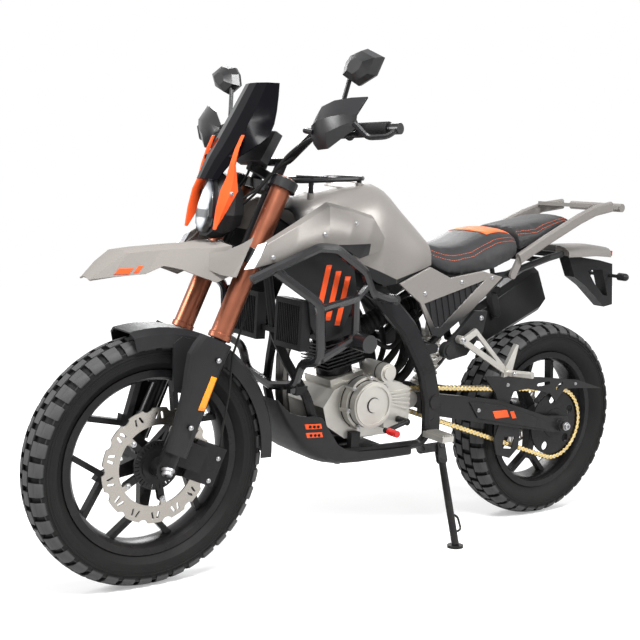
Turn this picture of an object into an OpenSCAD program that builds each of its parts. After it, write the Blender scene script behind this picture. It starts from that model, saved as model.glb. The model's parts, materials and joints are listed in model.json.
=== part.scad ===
// Adventure motorcycle parked on its side stand.
// Every piece is drawn with the machine upright and is then leaned to the left.
// Upright frame: x forward from the middle of the wheelbase, y to the left, z up from the ground.

/* [Stance] */
// Distance between the axles
wheelbase = 1430; // [1410:5:1450]
// Lean to the left on the side stand, in degrees
lean = 6; // [5.5:0.25:6.5]
// Rake of the fork from the vertical, in degrees
rake = 23; // [22.5:0.25:23.5]
// Steering axis behind the fork legs
fork_offset = 42; // [40:0.5:44]
// Half the distance between the fork legs
fork_half = 98; // [96:0.5:100]

/* [Wheels] */
// Front tyre radius over the tread
front_r = 328; // [325:0.5:331]
// Front tyre half width
front_half = 55; // [53:0.5:56]
// Front rim bead seat radius
front_seat = 228.6; // [226:0.2:231]
// Front rim half width inside the flanges
front_rim = 32; // [30:0.5:34]
// Rear tyre radius over the tread
rear_r = 324; // [321:0.5:326]
// Rear tyre half width
rear_half = 70; // [67:0.5:71]
// Rear rim bead seat radius
rear_seat = 215.9; // [213:0.2:218]
// Rear rim half width inside the flanges
rear_rim = 44.5; // [42:0.5:46]
// Axle radius
axle_r = 9; // [8:0.5:10]
// Front brake disc radius
disc_r = 150; // [146:0.5:152]
// Rear brake disc radius
rear_disc_r = 115; // [110:0.5:118]

/* [Fork] */
// Upper fork tube radius
tube_r = 27; // [26:0.25:28]
// Sliding inner leg radius
leg_r = 21; // [20:0.25:22]
// Lower end of the upper tube, up the leg from the axle
tube_low = 352; // [345:1:358]
// Top of the upper tube, up the leg from the axle
tube_top = 800; // [798:1:805]

/* [Drive] */
// Rear sprocket pitch radius
sprocket_r = 113.8; // [110:0.2:116]
// Gearbox sprocket pitch radius
pinion_r = 32.5; // [31:0.2:34]
// Chain line to the left of the middle
chain_y = 94; // [92:0.5:96]
// Swingarm pivot height
pivot_z = 451; // [449:0.5:453]

/* [Bars] */
// Crash bar tube radius
guard_r = 12.5; // [11:0.25:13.5]
// Handlebar tube radius
bar_r = 11; // [10:0.25:12]
// Rear rack rod radius
rack_r = 8; // [7:0.25:9]
// Rack mounting hole radius
rack_hole_r = 3.25; // [2.5:0.25:4]

/* [Hidden] */
$fn = 48;

// Clearance between pieces that seat on each other
seat_gap = 0.3;
// Radial clearance of a shaft that turns in its bore
run_gap = 0.05;
sides = [-1, 1];

// Colours
silver = [0.69, 0.66, 0.63];
dark = [0.17, 0.17, 0.18];
black = [0.07, 0.07, 0.08];
bronze = [0.55, 0.32, 0.22];
orange = [0.95, 0.33, 0.12];
cast = [0.72, 0.70, 0.66];
steel = [0.72, 0.72, 0.74];
rubber = [0.06, 0.06, 0.06];
gold = [0.82, 0.66, 0.32];

// Tyre outline: columns are the drop from the tread and the share of the half width
TREAD = [[0, 0], [0.8, 0.22], [3.2, 0.44], [8, 0.66], [15, 0.84], [24, 0.96], [40, 1], [58, 0.93]];
function tyre_reach(r, half) = max([for (p = TREAD) r - p[0] + p[1] * half * tan(lean)]);

front_x = wheelbase / 2;
rear_x = -wheelbase / 2;
front_z = tyre_reach(front_r, front_half);
rear_z = tyre_reach(rear_r, rear_half);
flange_h = 13;
flange_t = 6;

// The widest points are the mirrors and the hand guards, so the box is centred below them
wide_z = 1193.5;
tail_reach = 1050;
origin_x = (tail_reach - front_x - front_r) / 2;
origin_y = -sin(lean) * wide_z;

module parked() {
  translate([origin_x, origin_y, 0]) rotate([-lean, 0, 0]) children();
}
module at_front() {
  translate([front_x, 0, front_z]) children();
}
// Fork frame: origin at the front axle, z up the legs, x square to them
module in_fork() {
  at_front() rotate([0, -rake, 0]) children();
}
module both_sides() {
  children();
  mirror([0, 1, 0]) children();
}
// Cylinder along y between two values
module across(r, y0, y1) {
  translate([0, y0, 0]) rotate([-90, 0, 0]) cylinder(r = r, h = y1 - y0);
}
// Cylinder between two points
module rod(p, q, r) {
  d = q - p;
  translate(p) rotate([0, acos(d[2] / norm(d)), atan2(d[1], d[0])]) cylinder(r = r, h = norm(d));
}
// Box between two corners
module block(a, b) {
  translate(a) cube(b - a);
}
// Extrude an x, z outline between two values of y
module plate(y0, y1) {
  translate([0, y1, 0]) rotate([90, 0, 0]) linear_extrude(y1 - y0) children();
}

function unit(v) = v / norm(v);
function lerp(a, b, t) = a + (b - a) * t;
function sgn(v) = v < 0 ? -1 : 1;
function pw(v, e) = sgn(v) * pow(abs(v), e);
// Smooth curve through the rows of a table, t from 0 to the last row
function spline_row(rows, t) =
  let (n = len(rows) - 1, i = min(floor(t), n - 1), f = t - i)
  let (a = rows[max(i - 1, 0)], b = rows[i], c = rows[i + 1], d = rows[min(i + 2, n)])
  0.5 * (2 * b + (c - a) * f + (2 * a - 5 * b + 4 * c - d) * f * f + (3 * b - a - 3 * c + d) * f * f * f);
function refine(rows, steps) =
  let (n = len(rows) - 1)
  [for (k = [0 : n * steps]) spline_row(rows, k / steps)];
// Superellipse point, p = 2 is round and larger is squarer
function super(a, b, p, angle) = [a * pw(cos(angle), 2 / p), b * pw(sin(angle), 2 / p)];

// Path with rounded corners
function fillet(path, r, n = 3) =
  let (m = len(path) - 1)
  [for (i = [0 : m])
    each (i == 0 || i == m) ? [path[i]] :
      let (a = unit(path[i - 1] - path[i]), b = unit(path[i + 1] - path[i]))
      let (half = acos(max(-1, min(1, a * b))) / 2)
      let (reach = min(r / tan(half), 0.48 * min(norm(path[i - 1] - path[i]), norm(path[i + 1] - path[i]))))
      [for (k = [0 : n])
        let (t = k / n)
        path[i] + a * reach * (1 - t) * (1 - t) + b * reach * t * t]];
function tangents(path) =
  let (m = len(path) - 1)
  [for (i = [0 : m]) unit(path[min(i + 1, m)] - path[max(i - 1, 0)])];
function square_to(v, t) = unit(v - (v * t) * t);
// Frames carried along a path without twist
function frames(t, start) =
  [for (i = 0, n = square_to(start, t[0]); i < len(t);
        i = i + 1, n = square_to(n, t[min(i, len(t) - 1)])) n];

function volume_sign(p, f) =
  sum([for (q = f) for (k = [1 : len(q) - 2]) p[q[0]] * cross(p[q[k]], p[q[k + 1]])]);
function sum(v) = v * [for (x = v) 1];
module closed(points, faces) {
  turned = [for (f = faces) [for (k = [len(f) - 1 : -1 : 0]) f[k]]];
  polyhedron(points, volume_sign(points, faces) < 0 ? faces : turned);
}
// Solid through a row of rings with equal point counts
module loft(rings) {
  n = len(rings[0]);
  m = len(rings);
  wall = [for (i = [0 : m - 2]) for (j = [0 : n - 1])
    [i * n + j, i * n + (j + 1) % n, (i + 1) * n + (j + 1) % n, (i + 1) * n + j]];
  caps = [[for (j = [n - 1 : -1 : 0]) j], [for (j = [0 : n - 1]) (m - 1) * n + j]];
  closed([for (r = rings) each r], concat(wall, caps));
}
// Round bar of one outline carried along a path
module sweep(path, outline, start = [0, 0, 1]) {
  t = tangents(path);
  f = frames(t, start);
  loft([for (i = [0 : len(path) - 1])
    let (side = cross(t[i], f[i]))
    [for (q = outline) path[i] + f[i] * q[1] + side * q[0]]]);
}
// The same with one side of the outline kept level along the path
module sweep_level(path, outline, level) {
  t = tangents(path);
  loft([for (i = [0 : len(path) - 1])
    let (side = square_to(level, t[i]), up = cross(t[i], side))
    [for (q = outline) path[i] + side * q[0] + up * q[1]]]);
}
function ring_outline(r, n) = [for (k = [0 : n - 1]) r * [cos(k * 360 / n), sin(k * 360 / n)]];
module pipe(path, r, bend = 40, n = 8, start = [0.31, 0.21, 0.93]) {
  sweep(fillet(path, bend), ring_outline(r, n), start);
}
// Wall of one thickness under a grid of points, laid off along the grid's own normals
function grid_normal(g, i, j) =
  let (m = len(g) - 1, n = len(g[0]) - 1)
  unit(cross(g[min(i + 1, m)][j] - g[max(i - 1, 0)][j], g[i][min(j + 1, n)] - g[i][max(j - 1, 0)]));
module sheet(g, t) {
  m = len(g);
  n = len(g[0]);
  back = [for (i = [0 : m - 1]) [for (j = [0 : n - 1]) g[i][j] - t * grid_normal(g, i, j)]];
  s = m * n;
  skin = [for (i = [0 : m - 2]) for (j = [0 : n - 2])
    each [[i * n + j, (i + 1) * n + j, (i + 1) * n + j + 1, i * n + j + 1],
          [s + i * n + j, s + i * n + j + 1, s + (i + 1) * n + j + 1, s + (i + 1) * n + j]]];
  ends = [for (j = [0 : n - 2])
    each [[j, j + 1, s + j + 1, s + j],
          [(m - 1) * n + j + 1, (m - 1) * n + j, s + (m - 1) * n + j, s + (m - 1) * n + j + 1]]];
  rims = [for (i = [0 : m - 2])
    each [[(i + 1) * n, i * n, s + i * n, s + (i + 1) * n],
          [i * n + n - 1, (i + 1) * n + n - 1, s + (i + 1) * n + n - 1, s + i * n + n - 1]]];
  closed(concat([for (r = g) each r], [for (r = back) each r]), concat(skin, ends, rims));
}
// Half superellipse over the middle plane: columns of a row are x, half width, crown z, depth, squareness
function hood_grid(rows, n, up = 1) =
  [for (r = rows)
    [for (j = [0 : n])
      let (q = super(1, 1, r[4], lerp(180, 0, j / n)))
      [r[0], r[1] * q[0], r[2] - up * r[3] * (1 - q[1])]]];
// Side wall between a lower and an upper edge: columns are x, y, z low, x, y, z high, bulge
function wall_grid(rows, n) =
  [for (r = rows)
    [for (j = [0 : n])
      let (v = j / n)
      [lerp(r[0], r[3], v), lerp(r[1], r[4], v) + r[6] * 4 * v * (1 - v), lerp(r[2], r[5], v)]]];

// Bar between two points of a flat outline
module strip(p, q, w) {
  n = unit([p[1] - q[1], q[0] - p[0]]) * w / 2;
  polygon([p + n, q + n, q - n, p - n]);
}
// Rounded strip
module link2d(p, q, r) {
  strip(p, q, 1.96 * r);
  translate(p) circle(r);
  translate(q) circle(r);
}

// Front fork and steering

clamp_low = 556;
clamp_low_t = 40;
clamp_top = 768;
clamp_top_t = 28;
stem_r = 14;
clamp_r = 38;
clamp_nose = 50;
nose_half = 16;

module clamp_outline() {
  both_sides() {
    translate([0, fork_half]) circle(clamp_r);
    strip([0, fork_half], [-fork_offset, 0], 52);
  }
  translate([-fork_offset, 0]) circle(30);
}
module triple_clamps() color(black) parked() in_fork() {
  difference() {
    union() {
      translate([0, 0, clamp_low]) linear_extrude(clamp_low_t) clamp_outline();
      translate([0, 0, clamp_top]) linear_extrude(clamp_top_t) clamp_outline();
      translate([-fork_offset, 0, clamp_low + 1]) cylinder(r = stem_r, h = clamp_top - clamp_low);
      block([-fork_offset, -nose_half, clamp_low], [clamp_nose, nose_half, clamp_low + clamp_low_t]);
    }
    both_sides() translate([0, fork_half, clamp_low - 10])
      cylinder(r = tube_r + seat_gap, h = clamp_top - clamp_low + 60);
  }
}

leg_depth = 70;
module fork_tubes() color(bronze) parked() in_fork() both_sides()
  translate([0, fork_half, 0]) difference() {
    union() {
      translate([0, 0, tube_low]) cylinder(r = tube_r, h = tube_top - tube_low);
      translate([0, 0, tube_low]) cylinder(r = tube_r + 3, h = 14);
    }
    translate([0, 0, tube_low - 5]) cylinder(r = leg_r + seat_gap, h = leg_depth + 5);
    translate([0, 0, tube_top - 6]) cylinder(r = tube_r - 8, h = 10);
  }

bolt_r = 6;
fender_bolt_u = 322;
guard_bolts = [120, 300];
axle_half = 112;
lug_r = 27;
caliper_y = 78;
module fork_legs() color(black) parked() in_fork() {
  both_sides() {
    translate([0, fork_half, 0]) cylinder(r = leg_r, h = tube_low + leg_depth - 3);
    across(lug_r, fork_half - 28, fork_half + 12);
    translate([0, fork_half, 8]) cylinder(r = leg_r + 4, h = 95);
  }
  across(axle_r, -axle_half, axle_half + 4);
  across(15, axle_half - 4, axle_half + 3);
  block([-100, caliper_y, 18], [-10, fork_half, 86]);
  both_sides() {
    translate([0, 0, fender_bolt_u]) across(bolt_r, fender_half - 6, fork_half);
    for (u = guard_bolts) translate([0, 0, u]) across(bolt_r, fork_half, guard_y + 34);
  }
}

// Guard round the front and the outside of a leg: columns are height up the leg, front, back, half depth
guard_y = fork_half + 8;
GUARD = [[44, 31, -40, 40], [120, 42, -39, 40], [205, 58, -37, 41], [288, 84, -36, 43], [346, 70, -36, 46]];
module guard_wall() {
  n = 9;
  sheet([for (r = refine(GUARD, 2))
    [for (j = [0 : n])
      let (q = super(1, 1, 3.2, lerp(14, 152, j / n)))
      [lerp(r[2], r[1], (1 - q[0]) / 2), guard_y - 16 + r[3] * q[1], r[0]]]], 4);
}
module fork_guards() color(dark) parked() in_fork() both_sides() difference() {
  guard_wall();
  for (u = guard_bolts) translate([0, 0, u]) across(bolt_r + seat_gap, fork_half, guard_y + 60);
}

// Fender hugging the tyre, with stays to the legs
fender_gap = 19;
fender_half = 70;
fender_t = 4;
fender_skirt = 44;
fender_from = 76;
fender_sweep = 106;
fender_r = front_r + fender_gap;
module fender_profile() {
  r = fender_r;
  polygon([[r + fender_t, -fender_half * 0.7], [r + fender_t, fender_half * 0.7],
           [r - 10, fender_half], [r - fender_skirt, fender_half + 2], [r - fender_skirt, fender_half - 2],
           [r - 10 - fender_t, fender_half - fender_t], [r, fender_half * 0.64], [r, -fender_half * 0.64],
           [r - 10 - fender_t, fender_t - fender_half], [r - fender_skirt, 2 - fender_half],
           [r - fender_skirt, -fender_half - 2], [r - 10, -fender_half]]);
}
module front_fender() color(dark) parked() at_front() {
  difference() {
    union() {
      rotate([90, -fender_from, 0]) rotate_extrude(angle = fender_sweep) fender_profile();
      both_sides() rotate([0, -rake, 0]) plate(fender_half - 3.4, fender_half + 3)
        polygon([[25, 190], [46, 186], [74, 240], [100, 296], [84, 322], [25, 330]]);
    }
    rotate([0, -rake, 0]) translate([0, 0, fender_bolt_u]) across(bolt_r + seat_gap, -fork_half, fork_half);
  }
}

disc_y = 56;
disc_t = 4.5;
front_star_r = 97;
module front_caliper() color(black) parked() in_fork() {
  swing = 6;
  difference() {
    translate([-168, disc_y - 18, -6]) cube([96, caliper_y - seat_gap - disc_y + 18, 104]);
    across(front_star_r + 21, 0, disc_y);
    translate([-180, disc_y - swing, -20]) cube([130, disc_t + 2 * swing, 140]);
    across(62, 0, 200);
  }
  translate([-168, disc_y - 18, 20]) cube([12, caliper_y - seat_gap - disc_y + 18, 52]);
}

hose_r = 3.5;
// Brake hose from the caliper up the leg to the bars, held along its way
HOSE = [[-150, 66, 99.6], [-132, 70, 150], [-104, 82, 230], [-68, 82, 330],
        [-60, 78, 440], [-42, 66, 520], [-38, 62, 555.2]];
module brake_hose() color(black) parked() in_fork() pipe(HOSE, hose_r, 60, 6);

// Beak over the front wheel: columns are x, half width at the top, half width below, z top, z low
BEAK = [[184, 22, 30, 470, 465], [140, 42, 56, 508, 476], [100, 52, 66, 536, 482], [60, 58, 72, 541, 486],
        [16, 62, 78, 545, 506], [-30, 68, 86, 549, 498], [-70, 76, 96, 552, 484], [-120, 84, 104, 555, 468],
        [-166, 92, 104, 562, 488]];
beak_t = 4;
beak_crown = 4;
// Ears outside the legs: columns are x, y, z low, x, y, z high, bulge
EAR = [[-160, 134, 484, -202, 138, 586, 0], [-150, 122, 484, -176, 126, 568, 0], [-128, 108, 488, -140, 108, 548, 0],
       [-100, 95, 498, -104, 84, 540, 0]];
module beak() color(silver) parked() at_front() {
  sheet([for (r = BEAK)
    [[r[0], -r[2], r[4]], [r[0], -r[1], r[3] - beak_crown], [r[0], -r[1] * 0.4, r[3]],
     [r[0], r[1] * 0.4, r[3]], [r[0], r[1], r[3] - beak_crown], [r[0], r[2], r[4]]]], beak_t);
  both_sides() sheet(wall_grid(EAR, 2), beak_t);
  rotate([0, -rake, 0])
    block([clamp_nose + seat_gap, 4 - nose_half, clamp_low + 1], [82, nose_half - 4, clamp_low + 20]);
}

// Half outlines of the headlight, from the top round to the bottom, across and up
SHELL = [[0, 746], [28, 736], [52, 690], [60, 634], [48, 588], [16, 572], [0, 571]];
LENS = [[0, 726], [17, 708], [36, 664], [42, 630], [35, 602], [18, 588], [0, 586]];
lamp_mid = 640;
lamp_lean = 0.12;
// Ring of a half outline mirrored to both sides, drawn in by a share and set at x
function lamp_ring(half, x, share) =
  let (whole = concat(half, [for (k = [len(half) - 2 : -1 : 1]) [-half[k][0], half[k][1]]]))
  [for (q = whole)
    let (up = (q[1] - lamp_mid) * share)
    [x - lamp_lean * up, q[0] * share, lamp_mid + up]];
shell_front = -142;
lens_gap = 0.3;
module headlight_shell() color(black) parked() at_front() {
  loft([for (r = [[-230, 0.6], [-192, 0.92], [-164, 1], [shell_front, 0.9]]) lamp_ring(SHELL, r[0], r[1])]);
  rotate([0, -rake, 0]) translate([34, 0, clamp_low + clamp_low_t + seat_gap]) cylinder(r = 10, h = 60);
  both_sides() translate([blade_bolt[0], 0, blade_bolt[1]]) across(7, 30, blade_y - seat_gap);
}
module headlight_lens() color([0.9, 0.93, 0.96]) parked() at_front()
  loft([for (r = [[shell_front + lens_gap, 1], [shell_front + 7, 0.97], [shell_front + 14, 0.78]])
    lamp_ring(LENS, r[0], r[1])]);

// Orange blades beside the headlight: columns are front x, rear x, z
BLADE = [[-120, -127, 598], [-126, -160, 650], [-137, -187, 697], [-152, -182, 728], [-160, -176, 762],
         [-173, -183, 802], [-190, -196, 838]];
blade_y = 70;
blade_t = 6;
blade_ridge = 7;
blade_bolt = [-164, 690];
module light_blades() color(orange) parked() at_front() both_sides()
  loft([for (r = BLADE)
    [[r[1], blade_y, r[2]], [r[0], blade_y, r[2]], [r[0], blade_y + blade_t, r[2]],
     [(r[0] + r[1]) / 2, blade_y + blade_t + blade_ridge, r[2]], [r[1], blade_y + blade_t, r[2]]]]);

// Smoked screen folded at two creases: columns are middle x, crease half width, crease back, edge half width,
// edge back, z
SCREEN = [[-126, 38, 6, 50, 16, 722], [-150, 46, 8, 62, 24, 770], [-168, 54, 10, 84, 42, 800],
          [-192, 60, 12, 98, 66, 842], [-226, 58, 12, 92, 54, 904], [-264, 52, 10, 76, 30, 976]];
screen_t = 3.5;
screen_stub = [-172, 782];
module windscreen() color([0.05, 0.05, 0.06]) parked() at_front() {
  sheet([for (r = refine(SCREEN, 2))
    [[r[0] - r[4], -r[3], r[5]], [r[0] - (r[2] + r[4]) / 2, -(r[1] + r[3]) / 2, r[5]], [r[0] - r[2], -r[1], r[5]],
     [r[0], -r[1] / 3, r[5]], [r[0], r[1] / 3, r[5]],
     [r[0] - r[2], r[1], r[5]], [r[0] - (r[2] + r[4]) / 2, (r[1] + r[3]) / 2, r[5]], [r[0] - r[4], r[3], r[5]]]],
    screen_t);
  both_sides() translate([screen_stub[0], 0, screen_stub[1]]) across(6, 56, blade_y - seat_gap);
}

module dash() color(black) parked() at_front() {
  translate([-286, 0, 812]) rotate([0, -28, 0]) {
    translate([-14, -66, -46]) cube([26, 132, 92]);
  }
  rotate([0, -rake, 0]) block([-34, -12, clamp_top + clamp_top_t + seat_gap], [58, 12, clamp_top + clamp_top_t + 22]);
}

// Handlebar: half of the tube, from the middle to the grip end
bar_x = -330;
bar_z = 778;
BAR = [[bar_x, 0, bar_z], [bar_x + 2, 78, bar_z + 2], [bar_x - 6, 190, bar_z + 78], [bar_x - 58, 418, bar_z + 88]];
grip_r = 16.5;
grip_in = 0.46;
stalk_t = 0.32;
stalk_z = 26;
inner_t = 0.06;
inner_x = 26;
bar_end = 1.03;
function bar_point(t) = lerp(BAR[2], BAR[3], t);
module handlebar() color(black) parked() {
  at_front() {
    half = fillet(BAR, 60);
    back = [for (k = [len(half) - 1 : -1 : 1]) [half[k][0], -half[k][1], half[k][2]]];
    sweep(concat(back, half), ring_outline(bar_r, 12));
    both_sides() {
      rod(bar_point(grip_in), bar_point(0.985), grip_r);
      rod(bar_point(0.985), bar_point(bar_end), grip_r - 3);
      rod(bar_point(0.2), bar_point(grip_in - 0.02), 19);
      rod(bar_point(0.2) + [30, 0, -16], bar_point(0.74) + [40, 0, -12], 6);
      rod(bar_point(0.3) + [-4, 0, 0], bar_point(0.2) + [30, 0, -14], 9);
      rod(bar_point(stalk_t), bar_point(stalk_t) + [0, 0, stalk_z], 9);
      rod(bar_point(inner_t), bar_point(inner_t) + [inner_x, 0, 0], 8);
    }
  }
  in_fork() both_sides() translate([-4, 46, clamp_top + clamp_top_t + seat_gap]) cylinder(r = 15, h = 52);
}

// Hand guard folded at a ridge: columns are y, x, z low, z ridge, z top, lean back of the top
HAND = [[224, -296, 824, 868, 876, 4], [258, -286, 809, 878, 914, 14], [300, -284, 812, 886, 928, 22],
        [344, -296, 840, 893, 935, 27], [380, -314, 868, 894, 938, 30]];
guard_t = 5;
hand_tuck = 10;
module hand_guards() color(dark) parked() at_front() both_sides() {
  sheet([for (r = HAND)
    [[r[1] - hand_tuck, r[0], r[2]], [r[1], r[0], (r[2] + r[3]) / 2], [r[1], r[0], r[3]], [r[1] - r[5], r[0], r[4]]]],
    guard_t);
  rod(bar_point(bar_end) + seat_gap * unit(BAR[3] - BAR[2]), bar_point(1.13), grip_r - 3);
  pipe([[-314, 372, 874], [-338, 400, 842], [-364, 438, 846], bar_point(1.1)], 7, 24);
  pipe([bar_point(inner_t) + [inner_x + seat_gap, 0, 0], bar_point(inner_t) + [52, 0, 0], [-293, 238, 852]], 7, 20);
}

// Mirror outline seen from behind, across and up, and its shell: columns are x and share
MIRROR = [[-72, -20], [-62, 12], [-40, 32], [10, 43], [72, 20], [46, -22], [-16, -44]];
MIRROR_SHELL = [[30, 0.42], [18, 0.84], [0, 1], [-8, 0.96]];
mirror_c = [-372, 322, 1012];
module mirrors() color(black) parked() at_front() both_sides() {
  rod(bar_point(stalk_t) + [0, 0, stalk_z + seat_gap], bar_point(stalk_t) + [0, 0, stalk_z + 24], 6);
  rod(bar_point(stalk_t) + [0, 0, stalk_z + 18], mirror_c + [8, -40, -18], 6);
  loft([for (r = MIRROR_SHELL) [for (q = MIRROR) mirror_c + [r[0], q[0] * r[1], q[1] * r[1]]]]);
}

// Wheels

// Tread blocks stand in rows: columns are the inner edge, the outer edge and the shift in pitches
tread_depth = 9;
lug_share = 0.7;
LUG_ROWS = [[-0.99, -0.5, 0.5], [-0.43, -0.05, 0], [0.05, 0.43, 0.5], [0.5, 0.99, 0]];
shoulder = 0.96;
function tyre_half(r, half, sunk) = [for (p = TREAD) [r - p[0] - (p[1] < shoulder ? sunk : 0), p[1] * half]];
module tyre_body(r, half, seat, rim, sunk) {
  bead = [[seat + flange_h + 3, rim + 3], [seat + flange_h, rim - seat_gap], [seat + seat_gap, rim - seat_gap]];
  side = concat(tyre_half(r, half, sunk), bead);
  rotate([90, 0, 0]) rotate_extrude($fn = 96)
    polygon(concat(side, [for (k = [len(side) - 1 : -1 : 1]) [side[k][0], -side[k][1]]]));
}
module toothed(r, root, count, shift) {
  pitch = 360 / count;
  polygon([for (k = [0 : count - 1])
    each [for (c = [[root, 0], [r, 0], [r, lug_share], [root, lug_share]])
      c[0] * [cos((k + shift + c[1]) * pitch), sin((k + shift + c[1]) * pitch)]]]);
}
module tyre(r, half, seat, rim, count) {
  tyre_body(r, half, seat, rim, tread_depth);
  intersection() {
    tyre_body(r, half, seat, rim, 0);
    for (row = LUG_ROWS) plate(row[0] * half, row[1] * half)
      toothed(r + 6, r - 5 * tread_depth, count, row[2]);
  }
}
front_lugs = 40;
rear_lugs = 38;
module rim_ring(seat, rim) {
  f = seat + flange_h;
  out = rim + flange_t;
  rotate([90, 0, 0]) rotate_extrude($fn = 96)
    polygon([[f, out], [f, rim + 1], [seat, rim], [seat - 7, rim - 12], [seat - 7, 12 - rim], [seat, -rim],
             [f, -rim - 1], [f, -out], [seat - 6, -out], [seat - 15, 14 - out], [seat - 18, 0], [seat - 15, out - 14],
             [seat - 6, out]]);
}
// Five spokes that fork on their way to the rim
spoke_count = 5;
spoke_spread = 23;
spoke_fork = 0.64;
module spokes(rim_in, hub, t) {
  for (k = [0 : spoke_count - 1]) rotate([0, k * 360 / spoke_count + 14, 0]) {
    plate(-t, t) polygon([[hub - 6, -20], [rim_in * spoke_fork, -11], [rim_in * spoke_fork + 14, 0],
                          [rim_in * spoke_fork, 11], [hub - 6, 20]]);
    for (s = sides) plate(1 - t, t - 1)
      strip([rim_in * spoke_fork - 12, s * 4], rim_in * [cos(spoke_spread), s * sin(spoke_spread)] * 1.02, 15);
  }
}
module wheel(seat, rim, hub, hub0, hub1, t) {
  difference() {
    union() {
      rim_ring(seat, rim);
      spokes(seat - 15, hub, t);
      across(hub, hub0, hub1);
    }
    across(axle_r + run_gap, hub0 - 5, hub1 + 5);
  }
}
module star(r, boss, y0, y1, count, hub) {
  for (k = [0 : count - 1]) rotate([0, k * 360 / count + 30, 0]) plate(y0, y1) link2d([hub - 8, 0], [r, 0], boss);
}

front_hub = 42;
module front_tyre() color(rubber) parked() at_front() tyre(front_r, front_half, front_seat, front_rim, front_lugs);
module front_wheel() color(black) parked() at_front() {
  wheel(front_seat, front_rim, front_hub, -58, disc_y + 6, 12);
  star(front_star_r - 6, 9, disc_y - 14, disc_y - seat_gap, 5, front_hub);
  plate(disc_y - 3, disc_y + 2) difference() {
    circle(ring_r);
    circle(front_hub - 2);
    for (k = [0 : ring_slots - 1]) rotate(k * 360 / ring_slots) strip([ring_r - 14, 0], [ring_r - 3, 0], 3);
  }
}
ring_r = 64;
ring_slots = 36;
lobes = 14;
slot_r = 3;
module wave_disc(r, inner, bolt_r, count, y0, y1) {
  mid = (r + inner) / 2;
  plate(y0, y1) difference() {
    circle(r);
    circle(inner);
    for (k = [0 : lobes - 1]) rotate(k * 360 / lobes) translate([r + 7, 0]) circle(15);
    for (k = [0 : lobes - 1]) rotate((k + 0.5) * 360 / lobes) {
      link2d([mid - 4, -9], [mid + 9, -6], slot_r);
      link2d([mid - 4, 9], [mid + 9, 6], slot_r);
    }
  }
  for (k = [0 : count - 1]) rotate([0, k * 360 / count + 30, 0]) plate(y0, y1)
    link2d([bolt_r, 0], [inner + 4, 0], 8);
}
module front_disc() color(steel) parked() at_front()
  wave_disc(disc_r, front_star_r + 8, front_star_r - 6, 5, disc_y, disc_y + disc_t);

rear_hub = 48;
rear_disc_y = -84;
module at_rear() {
  translate([rear_x, 0, rear_z]) children();
}
sprocket_t = 6;
module rear_tyre() color(rubber) parked() at_rear() tyre(rear_r, rear_half, rear_seat, rear_rim, rear_lugs);
module rear_wheel() color(black) parked() at_rear() {
  wheel(rear_seat, rear_rim, rear_hub, rear_disc_y - 4, chain_y + 4, 14);
  star(58, 9, rear_disc_y + 4 + seat_gap, rear_disc_y + 16, 5, rear_hub);
  star(58, 9, chain_y - 18, chain_y - sprocket_t / 2 - seat_gap, 5, rear_hub);
}
module rear_disc() color(steel) parked() at_rear()
  wave_disc(rear_disc_r, 72, 58, 5, rear_disc_y, rear_disc_y + 4);
module rear_sprocket() color(black) parked() at_rear() plate(chain_y - sprocket_t / 2, chain_y + sprocket_t / 2)
  difference() {
    circle(sprocket_r - 8, $fn = 90);
    circle(rear_hub + seat_gap);
    for (k = [0 : 4]) rotate(k * 72 + 6) translate([82, 0]) circle(14);
  }

// Frame

stem_z0 = clamp_low + clamp_low_t + 8;
stem_z1 = clamp_top - 8;
head_r = 27;
function from_fork(w, y, u) =
  [front_x + w * cos(rake) - u * sin(rake), y, front_z + w * sin(rake) + u * cos(rake)];
head_mid = from_fork(-fork_offset, 0, (stem_z0 + stem_z1) / 2);
head_low = from_fork(-fork_offset, 0, stem_z0 + 50);
pivot_x = -128;
// Spar from the steering head to the swingarm pivot and down to the foot peg
SPAR = [head_mid + [-22, 20, 0], head_mid + [-120, 62, -68], [84, 106, 776], [-26, 126, 664], [-94, 138, 548],
        [pivot_x + 6, 143, pivot_z], [pivot_x, 143, 350]];
pivot_r = 17;
crash_x = 333;
crash_top = [66, 754];
crash_pad_y = 146;
skid_bosses = [180, -20];
skid_seat_z = 298;
tank_boss = [90, 800];
tank_boss_y = 132;
rail_eye = [31, 722];
rail_eye_y = 98;
strut_eye = [-118, 606];
strut_eye_y = 120;
spar_w = 15;
spar_h = 29;
function box_outline(w, h, c) =
  [[w, h - c], [w - c, h], [c - w, h], [-w, h - c], [-w, c - h], [c - w, -h], [w - c, -h], [w, c - h]];
cradle_y = 110;
cradle_z = 316;
cradle_r = 13;
CRADLE = [head_low + [-24, 0, 0], [346, 0, 644], [328, 40, 575], [294, cradle_y - 8, 480], [236, cradle_y, cradle_z],
          [pivot_x + 10, cradle_y, cradle_z], [pivot_x, 128, 352]];
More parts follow.
